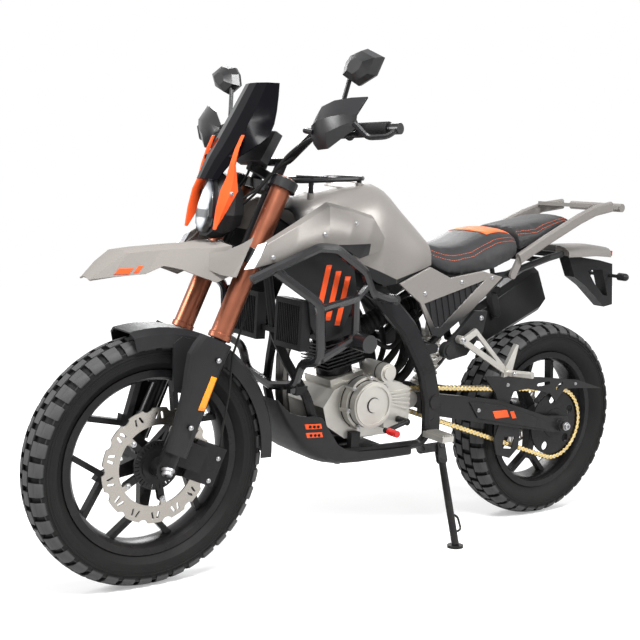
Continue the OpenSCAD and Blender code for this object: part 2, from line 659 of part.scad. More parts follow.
module main_frame() color(dark) parked() {
  difference() {
    union() {
      in_fork() translate([-fork_offset, 0, stem_z0]) cylinder(r = head_r, h = stem_z1 - stem_z0);
      both_sides() {
        sweep_level(fillet(SPAR, 90), box_outline(spar_w, spar_h, 8), [0, 1, 0]);
        pipe(CRADLE, cradle_r, 60);
      }
      translate([pivot_x, 0, pivot_z]) across(pivot_r, -134, 134);
      block([344, -44 + seat_gap, 650], [362, 44 - seat_gap, 664]);
      both_sides() {
        block([296, 84, 490], [crash_x - seat_gap, 104, 514]);
        block([110, case_half + seat_gap, 308], [140, cradle_y + 2, 372]);
        for (x = skid_bosses) block([x - 14, cradle_y - 9, skid_seat_z], [x + 14, cradle_y + 9, cradle_z]);
        translate([crash_top[0], 0, crash_top[1]]) across(14, 100, crash_pad_y);
        translate([tank_boss[0], 0, tank_boss[1]]) across(10, 100, tank_boss_y - seat_gap);
        translate([rail_eye[0], 0, rail_eye[1]]) across(13, rail_eye_y + seat_gap, 118);
        plate(strut_eye_y + seat_gap, 144) link2d(strut_eye, [-70, 602], 14);
      }
      on_hinge() linear_extrude(stand_tab, center = true) link2d([0, 0], tab_reach, 14);
      rod(stand_pivot + tab_offset, [-108, cradle_y, cradle_z], 12);
      on_hinge() translate([0, 0, -stand_pin / 2]) cylinder(r = stand_pin_r, h = stand_pin);
    }
    in_fork() translate([-fork_offset, 0, clamp_low]) cylinder(r = stem_r + seat_gap, h = 300);
    translate([pivot_x, 0, pivot_z]) across(axle_r, -200, 200);
  }
  both_sides() translate([pivot_x + 6, 0, pivot_z]) across(20, 155, 162);
}

RAIL = [[31, 86, 722], [-40, 92, 764], [-150, 104, 786], [-420, 112, 818], [-620, 92, 868], [-720, 60, 880]];
seat_pad = [-300, 817];
pillion_pad = [-600, 920];
side_y = 150;
side_t = 8;
side_bolts = [[-60, 768], [-200, 800]];
grab_eye = [-424, 818];
grab_y = 129;
peg_eye = [-200, 632];
peg_eye_r = 10;
peg_y = 152;
hanger = [-610, 742];
hanger_y = 124;
tail_seat_x = -728;
module subframe() color(dark) parked() {
  both_sides() {
    pipe(RAIL, 11, 80);
    pipe([[strut_eye[0], 110, strut_eye[1]], [-220, 108, 680], [-400, 111, 810]], 10, 60);
    translate([rail_eye[0], 0, rail_eye[1]]) across(13, 76, rail_eye_y);
    translate([strut_eye[0], 0, strut_eye[1]]) across(14, 98, strut_eye_y);
    for (b = side_bolts) translate([b[0], 0, b[1]]) across(7, 88, side_y - side_t - seat_gap);
    translate([grab_eye[0], 0, grab_eye[1]]) across(10, 106, grab_y - seat_gap);
    translate([peg_eye[0], 0, peg_eye[1]]) across(peg_eye_r, 102, peg_y);
    plate(102, 114) link2d(peg_eye, [-190, 658], peg_eye_r);
  }
  translate([-700, 0, 878]) across(10, -68, 68);
  translate([-232, 0, 690]) across(shock_bar_r, -109, 109);
  translate([seat_pad[0], 0, 803]) across(9, -106, 106);
  block([seat_pad[0] - 12, -30, 800], [seat_pad[0] + 12, 30, seat_pad[1]]);
  translate([pillion_pad[0], 0, 862]) across(9, -95, 95);
  block([pillion_pad[0] - 12, -26, 858], [pillion_pad[0] + 12, 26, pillion_pad[1]]);
  block([tail_seat_x, -30, 871], [-700, 30, 887]);
  rod([-560, -104, 852], [hanger[0], -114, hanger[1]], 8);
  translate([hanger[0], 0, hanger[1]]) across(13, -hanger_y, -104);
}

// Engine

crank = [100, 456];
case_half = 92;
CASE = [[-66, 376], [-20, 352], [150, 352], [214, 392], [230, 446], [196, 494], [150, 512], [20, 520], [-50, 500]];
cover_r = 66;
cover_y = 150;
cover_t = 118;
cover_bolts = 7;
cover_turn = 12;
cover_ribs = 5;
module engine_cases() color(cast) parked() {
  difference() {
    union() {
      plate(-case_half, case_half) polygon(CASE);
      plate(case_half - 1, cover_t) polygon([[-62, 384], [30, 376], [60, 520], [-10, 510], [-58, 492]]);
    }
    translate([pinion[0], 0, pinion[1]]) across(pinion_r + 2 * chain_t, chain_y - 12, chain_y + 12);
  }
  translate([pinion[0], 0, pinion[1]]) across(pinion_r - chain_t, chain_y - 14, chain_y + 13);
  translate(bore_base) rotate([0, cyl_tilt, 0]) block([-60, -64, -40], [60, 64, 0]);
  translate([crank[0], 0, crank[1]]) {
    across(cover_r + 10, case_half - 1, cover_y - 26);
    across(cover_r, cover_y - 30, cover_y);
    across(20, cover_y - 1, cover_y + 5);
    difference() {
      across(cover_r - 5, cover_y - 1, cover_y + 4);
      across(cover_r - 12, cover_y - 2, cover_y + 5);
    }
    for (k = [0 : cover_bolts - 1]) rotate([0, k * 360 / cover_bolts + cover_turn, 0])
      translate([cover_r + 7, 0, 0]) across(7, case_half + 1, cover_y - 18);
  }
  for (k = [0 : cover_ribs - 1]) plate(cover_t - 1, cover_t + 5)
    strip([22, 450 + k * 7], [-57, 428 + k * 15], 5);
  translate([50, 0, 543]) across(27, 50, cover_y - 4);
  translate([50, 0, 543]) across(18, 60, cover_y + 2);
  translate([60, 0, 446]) {
    across(84, -case_half - 34, -case_half + 1);
    across(50, -case_half - 46, -case_half - 33);
  }
}

cyl_tilt = 12;
bore_base = [132, 0, 528];
fin_count = 8;
module engine_cylinder() color(black) parked() translate(bore_base) rotate([0, cyl_tilt, 0]) {
  translate([0, 0, seat_gap]) cylinder(r = 52, h = 130);
  for (k = [0 : fin_count - 1]) translate([-64, -66, 26 + k * 10]) cube([128, 132, 4]);
  translate([-66, -62, 112]) cube([132, 124, 52]);
  translate([-56, -54, 163]) cube([112, 108, 26]);
}

radiator_x = 345;
radiator_t = 30;
module radiators() color(dark) parked() both_sides() {
  translate([radiator_x, 44, 622]) difference() {
    cube([radiator_t, 126, 132]);
    translate([radiator_t - 6, 12, 14]) cube([10, 102, 104]);
  }
  for (k = [0 : 11]) translate([radiator_x + radiator_t - 7, 44 + 15 + k * 8.6, 634]) cube([5, 3, 108]);
}

// Skid plate: columns are x, half width, bottom z, depth, squareness
SKID = [[372, 74, 470, 6, 6], [340, 92, 400, 40, 6], [300, 118, 336, 96, 7], [258, 130, 302, 126, 7],
        [200, 131, 288, 60, 7], [120, 131, 284, 36, 7], [-70, 131, 286, 30, 7]];
module skid_plate() color(black) parked() {
  sheet(hood_grid(refine(SKID, 2), 14, -1), 4);
  both_sides() for (x = skid_bosses) translate([x, cradle_y - 6, 287])
    cylinder(r = 9, h = skid_seat_z - seat_gap - 287);
}

// Tank and bodywork

// Tank skin: columns are x, half width, crown z, depth, squareness
TANK = [[344, 76, 984, 62, 3], [306, 106, 1014, 108, 3.2], [220, 138, 1044, 180, 3.4], [120, 149, 1063, 264, 3.4],
        [60, 138, 1055, 263, 3.2], [0, 130, 1010, 206, 3], [-60, 122, 961, 136, 2.8], [-108, 106, 922, 80, 2.8]];
tank_t = 6;
rack_feet = [[140, 70, 1066], [296, 64, 1030]];
shroud_bolt = [150, 905];
shroud_bolt_y = 152;
module fuel_tank() color(silver) parked() {
  sheet(hood_grid(refine(TANK, 2), 16), tank_t);
  both_sides() {
    translate([tank_boss[0], 0, tank_boss[1]]) across(12, tank_boss_y, 151);
    translate([shroud_bolt[0], 0, shroud_bolt[1]]) across(9, 138, shroud_bolt_y);
    for (f = rack_feet) rod([f[0], f[1], f[2] - 22], f, 9);
  }
}

rack_z = 1072;
RACK = [[330, 0, rack_z - 12], [322, 66, rack_z - 10], [140, 74, rack_z + 6], [104, 40, rack_z + 8],
        [104, 0, rack_z + 8]];
module tank_rack() color(dark) parked() {
  both_sides() {
    pipe(RACK, rack_r - 1, 34, 8);
    for (f = rack_feet) rod(f + [0, 0, seat_gap], [f[0], f[1], rack_z], 7);
  }
  for (x = [180, 250]) translate([x, 0, rack_z + 1]) across(rack_r - 2, -70, 70);
}

// Shroud: columns are x, y, z low, x, y, z high, bulge
SHROUD = [[546, 202, 842, 512, 200, 908, 4], [450, 214, 868, 424, 200, 956, 10], [348, 214, 897, 314, 178, 1006, 15],
          [270, 206, 890, 226, 166, 998, 16], [214, 190, 866, 152, 162, 975, 12], [128, 165, 886, 96, 160, 918, 2]];
LAMP = [[572, 196, 838, 536, 196, 900, 2], [547.8, 202, 842, 513.8, 200, 907, 4]];
shroud_t = 6;
panel_y = 180;
panel_bolts = [[352, 906], [262, 892]];
module shrouds() color(silver) parked() both_sides() {
  sheet(wall_grid(SHROUD, 2), shroud_t);
  translate([shroud_bolt[0], 0, shroud_bolt[1]]) across(8, shroud_bolt_y + seat_gap, 167);
  for (b = panel_bolts) translate([b[0], 0, b[1]]) across(8, panel_y + seat_gap, 212);
}
module shroud_lamps() color([0.92, 0.93, 0.95]) parked() both_sides() sheet(wall_grid(LAMP, 2), shroud_t);

module radiator_panels() color(dark) parked() both_sides() {
  plate(panel_y - 6, panel_y)
    polygon([[462, 850], [372, 920], [236, 905], [206, 770], [250, 672], [318, 644], [352, 690], [366, 770]]);
  translate([354, 0, 736]) across(6, 170 + seat_gap, panel_y - 5);
}

// Crash bars: upper tube, front hoop with the cross tube, and the strut behind it
UPPER = [[562, 216, 816], [382, 236, 898], [326, 236, 896], [226, 230, 838], [182, 214, 776], [110, 184, 758],
         [66, 168, 754]];
HOOP = [[500, 222, 838], [368, 240, 754], [356, 240, 606], [352, 150, 588], [350, 122, 524], [347, 0, 500]];
STRUT = [[362, 238, 742], [238, 224, 768], [206, 220, 800]];
POST = [[242, 222, 766], [230, 212, 658], [356, 238, 612]];
bobbin_r = 24;
module crash_bars() color(dark) parked() both_sides() {
  pipe(UPPER, guard_r, 46);
  pipe(HOOP, guard_r, 46);
  pipe(STRUT, guard_r - 1.5, 30);
  pipe(POST, guard_r - 1.5, 30);
  translate([crash_top[0], 0, crash_top[1]]) across(14, crash_pad_y + seat_gap, 178);
  block([crash_x, 86, 496], [350, 102, 518]);
  translate([224, 0, 652]) across(bobbin_r, 204, 270);
}

// Side panel below the seat, with a window for its ribbed insert
SIDE = [[35, 795], [-75, 843], [-155, 812], [-281, 832], [-366, 814], [-250, 716], [-134, 640],
        [-100, 646], [-46, 740]];
WINDOW = [[-62, 738], [-292, 804], [-128, 668], [-110, 668]];
module side_panels() color(silver) parked() both_sides() difference() {
  plate(side_y - side_t, side_y) polygon(SIDE);
  plate(side_y - 2 * side_t, side_y + side_t) polygon(WINDOW);
}
// Points of an outline drawn in towards its middle by a share
function drawn_in(outline, share) =
  let (middle = [for (q = outline) 1 / len(outline)] * outline)
  [for (q = outline) middle + (q - middle) * share];
insert_share = 0.985;
insert_ribs = 9;
module side_meshes() color(dark) parked() both_sides() {
  plate(side_y - side_t, side_y - side_t + 4) polygon(drawn_in(WINDOW, insert_share));
  intersection() {
    plate(side_y - side_t + 3, side_y - 1) polygon(drawn_in(WINDOW, insert_share));
    for (k = [0 : insert_ribs - 1]) let (low = lerp(WINDOW[3], WINDOW[1], k / insert_ribs))
      plate(side_y - side_t, side_y) strip(low + [-6, -34], low + [30, 96], 9);
  }
}
// Bracket behind the panel with a round cap, on the eye of the passenger peg
BRACKET = [[-264, 714], [-314, 712], [-302, 650], [-242, 582], [-176, 570], [-150, 606]];
bracket_t = 12;
cap_at = [-164, 600];
cap_r = 24;
module side_brackets() color(dark) parked() both_sides() difference() {
  union() {
    plate(side_y - bracket_t, side_y) polygon(BRACKET);
    translate([cap_at[0], 0, cap_at[1]]) across(cap_r, side_y - bracket_t, side_y + 8);
    translate([cap_at[0], 0, cap_at[1]]) across(cap_r - 8, side_y, side_y + 12);
  }
  translate([peg_eye[0], 0, peg_eye[1]]) across(peg_eye_r + seat_gap, side_y - 2 * bracket_t, side_y + bracket_t);
}

// Seats: columns are x, half width, crown z, depth, squareness
RIDER = [[-64.6, 62, 930, 22, 3], [-120, 84, 912, 62, 3], [-190, 112, 896, 84, 3.2], [-270, 132, 908, 90, 3.4],
         [-350, 138, 944, 112, 3.4], [-430, 128, 958, 96, 3.4], [-462, 118, 950, 64, 3.4]];
PILLION = [[-466, 112, 962, 70, 3.4], [-540, 116, 976, 66, 3.4], [-620, 108, 992, 56, 3.4], [-700, 94, 1006, 40, 3.2],
           [-744, 74, 1004, 20, 3]];
function pad_rings(rows, n) =
  [for (r = rows)
    concat([for (j = [0 : n])
      let (q = super(1, 1, r[4], lerp(180, 0, j / n)))
      [r[0], r[1] * q[0], r[2] - r[3] * (1 - q[1])]])];
module rider_seat() color([0.1, 0.1, 0.11]) parked() {
  loft(pad_rings(refine(RIDER, 2), 14));
  block([seat_pad[0] - 12, -28, seat_pad[1] + seat_gap], [seat_pad[0] + 12, 28, 840]);
}
module pillion_seat() color([0.1, 0.1, 0.11]) parked() {
  loft(pad_rings(refine(PILLION, 2), 14));
  block([pillion_pad[0] - 12, -24, pillion_pad[1] + seat_gap], [pillion_pad[0] + 12, 24, 950]);
}

// Rear rack with the grab rails
RAIL_BAR = [[-440, 138, 868], [-560, 134, 928], [-720, 122, 998], [-800, 114, 1026], [-890, 104, 1042]];
rack_plate_z = 1034;
module rear_rack() color(silver) parked() {
  both_sides() {
    sweep(fillet(RAIL_BAR, 60), box_outline(9, 17, 5), [0, 0, 1]);
    plate(grab_y, grab_y + 9) link2d(grab_eye, [-450, 868], 12);
  }
  difference() {
    union() {
      translate([-940, -104, rack_plate_z]) cube([172, 208, 12]);
      translate([-944, 0, rack_plate_z + 6]) across(14, -108, 108);
    }
    for (x = [-790, -836, -882]) for (s = sides)
      translate([x - 14, s * 50 - 36, rack_plate_z - 5]) cube([24, 72, 30]);
    for (s = sides) for (x = [-778, -924]) translate([x, s * 94, rack_plate_z - 5]) cylinder(r = rack_hole_r, h = 30);
  }
}

TAIL = [[-735, 78, 902, 32, 3], [-820, 70, 906, 34, 3], [-900, 58, 908, 34, 3], [-990, 42, 900, 30, 3]];
holder_z = 870;
holder_half = 22;
tail_end = -990;
module tail_cover() color(silver) parked() {
  sheet(hood_grid(refine(TAIL, 2), 10), 4);
  block([-764, -26, 872], [tail_seat_x - seat_gap, 26, 905]);
  block([-842, -20, holder_z], [-800, 20, 908]);
}

signal = [-1018, 0, holder_z - 64];
module plate_holder() color(black) parked() {
  plate(-holder_half, holder_half) difference() {
    polygon([[-800, holder_z - seat_gap], [-842, holder_z - seat_gap], [-960, holder_z - 12], [-1030, holder_z - 24],
             [-1050, holder_z - 166], [-1006, holder_z - 174], [-900, holder_z - 100], [-840, holder_z - 70]]);
    polygon([[-905, holder_z - 48], [-980, holder_z - 44], [-1020, holder_z - 136], [-996, holder_z - 132],
             [-950, holder_z - 96]]);
  }
  both_sides() translate(signal) {
    across(6, holder_half - 1, 66);
    across(13, 64, 90);
    translate([0, 90, 0]) sphere(r = 13);
  }
}
module tail_lamps() color([0.6, 0.06, 0.05]) parked() block([tail_end - 18, -36, 874], [tail_end - 0.6, 36, 892]);

// Rear suspension and drive

arm_y = 110;
arm_t = 16;
ARM = [[pivot_x + 34, pivot_z + 24], [-300, 446], [-420, 428], [rear_x + 70, rear_z + 34], [rear_x - 34, rear_z + 26],
       [rear_x - 40, rear_z - 24], [rear_x + 30, rear_z - 22], [-450, 344], [-330, 366],
       [pivot_x + 30, pivot_z - 40]];
ARM_RIDGE = [[-290, 432], [-420, 414], [rear_x + 84, rear_z + 22], [rear_x + 70, rear_z - 8],
             [-452, 356], [-330, 380]];
rear_axle_half = 150;
shock_bar_r = 9;
module swingarm() color(dark) parked() {
  difference() {
    union() {
      both_sides() {
        plate(arm_y, arm_y + arm_t) polygon(ARM);
        plate(arm_y + arm_t - 1, arm_y + arm_t + 5) polygon(ARM_RIDGE);
      }
      plate(arm_y, arm_y + 5) difference() {
        polygon([[-540, 344], [-440, 346], [-424, 300], [-440, 250], [-500, 232], [-536, 262]]);
        polygon([[-516, 300], [-470, 304], [-462, 268], [-506, 262]]);
      }
      block([-250, -arm_y - 2, 392], [-200, arm_y + 2, 438]);
    }
    translate([pivot_x, 0, pivot_z]) across(pivot_r + seat_gap, -200, 200);
  }
  at_rear() {
    across(axle_r, -rear_axle_half, rear_axle_half);
    both_sides() across(20, arm_y + arm_t - 1, arm_y + arm_t + 14);
  }
}

shock_low = [-216, 0, 438.3];
module shock() color(cast) parked() {
  block(shock_low + [-14, -18, 0], shock_low + [14, 18, 34]);
  difference() {
    union() {
      rod(shock_low + [0, 0, 20], [-232, 0, 690], 18);
      translate([-232, 0, 690]) across(20, -18, 18);
    }
    translate([-232, 0, 690]) across(shock_bar_r + seat_gap, -60, 60);
  }
  translate(shock_low + [-1, 0, 30]) rotate([0, -3.6, 0]) {
    cylinder(r = 38, h = 8);
    cylinder(r = 27, h = 170);
    for (k = [0 : 6]) translate([0, 0, 18 + k * 21]) rotate_extrude() translate([31, 0]) circle(6);
    translate([0, 0, 160]) cylinder(r = 38, h = 10);
  }
}

pinion = [-74, pivot_z];
chain_half = 8;
chain_t = 8;
chain_gap = 0.5;
drive_span = norm([pinion[0] - rear_x, pinion[1] - rear_z]);
drive_slope = atan2(pinion[1] - rear_z, pinion[0] - rear_x);
drive_open = asin((sprocket_r - pinion_r) / drive_span);
// Closed path round the two sprockets, grown by e, with every second point drawn in by a dip as the links are
function drive_loop(e, dip) =
  let (top = drive_slope + 90 - drive_open, low = drive_slope - 90 + drive_open, wheel = [rear_x, rear_z])
  let (round_rear = 48, straight = 82, round_front = 12)
  let (stations = concat(
    [for (k = [0 : round_rear]) [wheel, sprocket_r, lerp(top, low + 360, k / round_rear)]],
    [for (k = [1 : straight - 1])
      [lerp(wheel, pinion, k / straight), lerp(sprocket_r, pinion_r, k / straight), low]],
    [for (k = [0 : round_front]) [pinion, pinion_r, lerp(low, top, k / round_front)]],
    [for (k = [1 : straight - 1])
      [lerp(pinion, wheel, k / straight), lerp(pinion_r, sprocket_r, k / straight), top]]))
  [for (k = [0 : len(stations) - 1])
    let (q = stations[k])
    q[0] + (q[1] + e - dip * (k % 2)) * [cos(q[2]), sin(q[2])]];
link_dip = 2.4;
module chain() color(gold) parked() plate(chain_y - chain_half, chain_y + chain_half) difference() {
  polygon(drive_loop(chain_t, link_dip));
  polygon(drive_loop(chain_gap - chain_t, -link_dip));
}
module chain_guard() color(dark) parked() plate(arm_y - 5 - seat_gap, arm_y - seat_gap) difference() {
  polygon([[-364, 504], [-620, 486], [-800, 466], [-926, 430], [-812, 438], [-740, 440], [-700, 400], [-670, 430],
           [-560, 452], [-500, 446], [-480, 400], [-440, 404], [-420, 446]]);
  link2d([-660, 464], [-612, 460], 6);
  link2d([-722, 458], [-702, 446], 6);
}

// Exhaust on the right

silencer_tilt = 27;
silencer_at = [-566, -190, 600];
silencer_in = [cos(silencer_tilt), 0, -sin(silencer_tilt)];
port = bore_base + [66.3 * cos(cyl_tilt) + 138 * sin(cyl_tilt), -14, 138 * cos(cyl_tilt) - 66.3 * sin(cyl_tilt)];
PIPE = [port, port + 44 * [cos(cyl_tilt), 0, -sin(cyl_tilt)], [302, -16, 596], [296, -20, 470], [256, -44, 346],
        [190, -60, 322], [-70, -62, 322], [-168, -70, 330], [-222, -140, 350], [-300, -158, 420], [-420, -172, 498],
        silencer_at + 62 * silencer_in, silencer_at + 0.5 * silencer_in];
pipe_r = 19;
module exhaust_pipe() color(steel) parked() pipe(PIPE, pipe_r, 60, 10);
module silencer() color(dark) parked() {
  translate(silencer_at) rotate([0, silencer_tilt, 0]) rotate([0, -90, 0])
    loft([for (r = [[0, 34, 40], [40, 44, 72], [300, 52, 82], [340, 46, 72]])
      [for (q = box_outline(r[2], r[1], 18)) [q[0], q[1], r[0]]]]);
  plate(-152, -hanger_y - seat_gap) link2d(hanger, [-640, 660], 14);
}

// Pegs, levers and stand

peg_x = -126;
spar_out = 158;
peg_end = [-394, 526];
peg_arm_y = 166;
peg_teeth = 6;
module foot_pegs() color(steel) parked() both_sides() {
  block([peg_x, spar_out + seat_gap, 352], [peg_x + 42, 244, 368]);
  for (k = [0 : peg_teeth - 1])
    block([peg_x + 2 + k * 7, spar_out + 14, 367], [peg_x + 5 + k * 7, 242, 374]);
  translate([peg_eye[0], 0, peg_eye[1]]) across(12, peg_y + seat_gap, peg_arm_y + 4);
  plate(peg_arm_y, peg_arm_y + 9) strip(peg_eye + [10, 4], peg_end, 17);
  plate(peg_arm_y, peg_arm_y + 9) strip(peg_eye + [-2, -4], [-252, 656], 20);
  plate(peg_arm_y, peg_arm_y + 9) strip([-246, 660], peg_end, 13);
  plate(peg_arm_y - 2, peg_arm_y + 11) polygon([[-378, 512], [-410, 516], [-432, 608], [-422, 612], [-384, 544]]);
  rod([-396, 172, 524], [-418, 256, 530], 10);
}
lever_x = -20;
module foot_levers() color(black) parked() {
  translate([lever_x, 0, 400]) across(10, cover_t + seat_gap, 162);
  rod([lever_x, 156, 400], [60, 168, 384], 7);
  rod([60, 160, 384], [60, 214, 384], 8);
  translate([lever_x, 0, 392]) across(10, -166, -case_half - seat_gap);
  rod([lever_x, -160, 392], [60, -170, 384], 7);
  rod([60, -160, 384], [60, -200, 384], 8);
}

stand_pivot = [-198, 112, 300];
stand_foot_y = 224;
stand_foot_x = -186;
stand_r = 11;
stand_pin_r = 6;
stand_tab = 10;
cheek_t = 7;
cheek_in = stand_tab / 2 + 0.6;
stand_pin = 2 * (cheek_in + cheek_t) + 6;
stand_foot = [stand_foot_x, stand_foot_y, stand_foot_y * tan(lean)];
stand_down = unit(stand_foot - stand_pivot);
stand_up = unit([-300, 70, -10]);
hinge_axis = unit(cross(stand_down, stand_up));
hinge_side = cross(hinge_axis, stand_down);
// Hinge frame: x down the leg, z along the pin
module on_hinge() {
  multmatrix([for (i = [0 : 2]) [stand_down[i], hinge_side[i], hinge_axis[i], stand_pivot[i]]]) children();
}
tab_offset = 64 * square_to([1, 0, 0], hinge_axis);
tab_reach = [tab_offset * stand_down, tab_offset * hinge_side];
foot_t = 8;
module side_stand() color(black) parked() {
  on_hinge() difference() {
    for (s = sides) translate([0, 0, s * (cheek_in + cheek_t / 2)])
      linear_extrude(cheek_t, center = true) link2d([0, 0], [40, 0], 13);
    translate([0, 0, -40]) cylinder(r = stand_pin_r + run_gap, h = 80);
  }
  rod(stand_pivot + 24 * stand_down, stand_foot + [0, 0, foot_t], stand_r);
  translate(stand_foot) rotate([lean, 0, 0]) cylinder(r = 24, h = foot_t);
  tang = [for (t = [0.66, 0.86]) lerp(stand_pivot, stand_foot, t)];
  pipe([tang[0], tang[0] + [-28, 6, -16], tang[1] + [-26, 6, 8], tang[1]], 3.5, 12, 6);
}

triple_clamps();
fork_tubes();
fork_legs();
fork_guards();
front_fender();
front_caliper();
brake_hose();
beak();
headlight_shell();
headlight_lens();
light_blades();
windscreen();
dash();
handlebar();
hand_guards();
mirrors();
front_tyre();
front_wheel();
front_disc();
rear_tyre();
rear_wheel();
rear_disc();
rear_sprocket();
main_frame();
subframe();
engine_cases();
engine_cylinder();
radiators();
skid_plate();
fuel_tank();
tank_rack();
shrouds();
shroud_lamps();
radiator_panels();
crash_bars();
side_panels();
side_meshes();
side_brackets();
rider_seat();
pillion_seat();
rear_rack();
tail_cover();
plate_holder();
tail_lamps();
swingarm();
shock();
chain();
chain_guard();
exhaust_pipe();
silencer();
foot_pegs();
foot_levers();
side_stand();
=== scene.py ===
"""Looks of an adventure motorcycle parked on its side stand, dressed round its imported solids.

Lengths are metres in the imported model's frame: +X forward, +Y to the left, +Z up.
"""

import json
import math

import bmesh
import bpy
import numpy as np
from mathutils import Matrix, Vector
from mathutils.bvhtree import BVHTree


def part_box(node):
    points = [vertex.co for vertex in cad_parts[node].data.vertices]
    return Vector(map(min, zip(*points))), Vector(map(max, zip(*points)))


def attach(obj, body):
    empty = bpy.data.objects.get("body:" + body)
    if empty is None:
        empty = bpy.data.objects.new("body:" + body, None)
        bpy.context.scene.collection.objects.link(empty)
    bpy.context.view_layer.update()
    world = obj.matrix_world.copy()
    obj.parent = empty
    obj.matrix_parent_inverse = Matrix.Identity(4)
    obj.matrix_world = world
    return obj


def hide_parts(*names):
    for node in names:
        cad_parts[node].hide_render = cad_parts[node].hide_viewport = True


bl_info = {
    "name": "Adventure motorcycle looks",
    "version": (1, 0, 0),
    "blender": (4, 5, 0),
    "location": "3D View > Sidebar > Motorcycle",
    "description": "Finishes, seats, tyres, trim and studio for a parked adventure motorcycle",
    "category": "Object",
}

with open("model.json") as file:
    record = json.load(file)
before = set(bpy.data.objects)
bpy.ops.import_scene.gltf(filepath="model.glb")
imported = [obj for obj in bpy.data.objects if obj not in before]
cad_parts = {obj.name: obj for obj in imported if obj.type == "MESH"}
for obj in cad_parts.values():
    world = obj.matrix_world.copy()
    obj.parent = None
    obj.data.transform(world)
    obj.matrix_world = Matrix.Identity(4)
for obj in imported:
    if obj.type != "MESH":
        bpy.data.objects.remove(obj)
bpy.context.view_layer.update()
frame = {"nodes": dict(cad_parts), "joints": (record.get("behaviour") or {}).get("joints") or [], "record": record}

# The upright machine's frame, read from the wheel joints: x from the middle of the wheelbase,
# z from the ground
JOINTS = {joint["name"]: joint for joint in frame["joints"]}
FRONT_AXLE = np.array(JOINTS["front_wheel_spin"]["pos_m"])
REAR_AXLE = np.array(JOINTS["rear_wheel_spin"]["pos_m"])
AXLE_LINE = np.array(JOINTS["front_wheel_spin"]["axis"])
LEAN = math.asin(-AXLE_LINE[2])
LEAN_TURN = np.array([
    [1, 0, 0],
    [0, math.cos(LEAN), math.sin(LEAN)],
    [0, -math.sin(LEAN), math.cos(LEAN)],
])
MIDDLE = (FRONT_AXLE + REAR_AXLE) / 2
ORIGIN = np.array([MIDDLE[0], FRONT_AXLE[1] - FRONT_AXLE[2] * math.tan(LEAN), 0])


def leaned(points):
    """Points of the upright machine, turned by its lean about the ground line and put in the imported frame."""
    return np.asarray(points, float) @ LEAN_TURN.T + ORIGIN


def upright(points_mm):
    """Points of the upright machine in millimetres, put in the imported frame."""
    return leaned(np.asarray(points_mm, float) / 1000)


class FinishColours(bpy.types.PropertyGroup):
    """Colours of the finishes."""


def colour(name, description, default):
    """A colour setting with its name, description and default."""
    return bpy.props.FloatVectorProperty(
        name=name, description=description, default=default, subtype="COLOR", min=0, max=1)


COLOURS = {
    "silver_paint": colour("Silver", "Metallic paint of the bodywork", (0.205, 0.191, 0.178)),
    "dark_paint": colour("Frame", "Powder coat of the frame and crash bars", (0.010, 0.010, 0.011)),
    "black_cast": colour("Cast black", "Coated castings and wheels", (0.006, 0.006, 0.007)),
    "black_plastic": colour("Plastic", "Moulded plastic covers", (0.014, 0.014, 0.015)),
    "bronze_anodised": colour("Bronze", "Anodised fork tubes", (0.30, 0.105, 0.06)),
    "orange_plastic": colour("Orange", "Orange accents", (0.74, 0.086, 0.020)),
    "cast_alloy": colour("Alloy", "Bare engine covers", (0.46, 0.446, 0.415)),
    "tyre_rubber": colour("Tyre", "Tyre rubber", (0.0055, 0.0055, 0.0057)),
    "seat_cover": colour("Seat", "Seat cover", (0.012, 0.012, 0.013)),
    "chain_gold": colour("Chain", "Gold plated chain", (0.80, 0.60, 0.25)),
    # Greased rollers inside the chain, darkened further as painted shade in the gaps between the links
    "chain_core": colour("Chain core", "Greased rollers inside the chain", (0.045, 0.034, 0.018)),
    "disc_steel": colour("Disc", "Brushed brake discs", (0.35, 0.328, 0.30)),
    "exhaust_steel": colour("Exhaust", "Bare exhaust pipe", (0.10, 0.095, 0.09)),
    "silencer_paint": colour("Silencer", "Heat proof paint", (0.028, 0.028, 0.029)),
    "smoked_screen": colour("Screen", "Smoked wind screen", (0.002, 0.002, 0.003)),
    "hose_rubber": colour("Hose", "Rubber hose", (0.010, 0.010, 0.010)),
    "red_lens": colour("Red lens", "Tail lamp lens", (0.42, 0.012, 0.010)),
    "lamp_lens": colour("Lamp", "Front lamp lens", (0.80, 0.83, 0.86)),
    "amber_lens": colour("Amber", "Side reflectors", (0.90, 0.27, 0.012)),
    "seat_accent": colour("Seat accent", "Panel and thread of the seat", (0.80, 0.12, 0.025)),
    "grip_rubber": colour("Grips", "Rubber of the grips", (0.011, 0.011, 0.011)),
    "bright_bolt": colour("Bolts", "Plated bolts", (0.42, 0.42, 0.43)),
    "gloss_black": colour("Gloss black", "Polished mirror shells and hand guards", (0.006, 0.006, 0.007)),
    "mirror_glass": colour("Mirror", "Silvered glass", (0.80, 0.82, 0.84)),
}
FinishColours.__annotations__ = COLOURS


class StudioSettings(bpy.types.PropertyGroup):
    """Studio light, floor and camera."""

    floor: bpy.props.FloatVectorProperty(
        name="Floor", description="Colour of the floor", default=(0.72, 0.72, 0.72),
        subtype="COLOR", min=0, max=1)
    lamp_power: bpy.props.FloatProperty(
        name="Lamp power", description="Power of the key lamp", default=138, min=0, unit="POWER")
    sky: bpy.props.FloatProperty(
        name="Sky light", description="Strength of the even light from all round", default=0.27, min=0)
    lens: bpy.props.FloatProperty(
        name="Lens", description="Focal length of the camera", default=58.26, subtype="DISTANCE_CAMERA")
    eye: bpy.props.FloatVectorProperty(
        name="Eye", description="Place of the camera", default=(1.90255, 2.31417, 0.80086),
        subtype="XYZ", unit="LENGTH")
    aim: bpy.props.FloatVectorProperty(
        name="Aim", description="Point that the camera looks at", default=(0.1452, -0.12476, 0.6697),
        subtype="XYZ", unit="LENGTH")


# Shader node groups


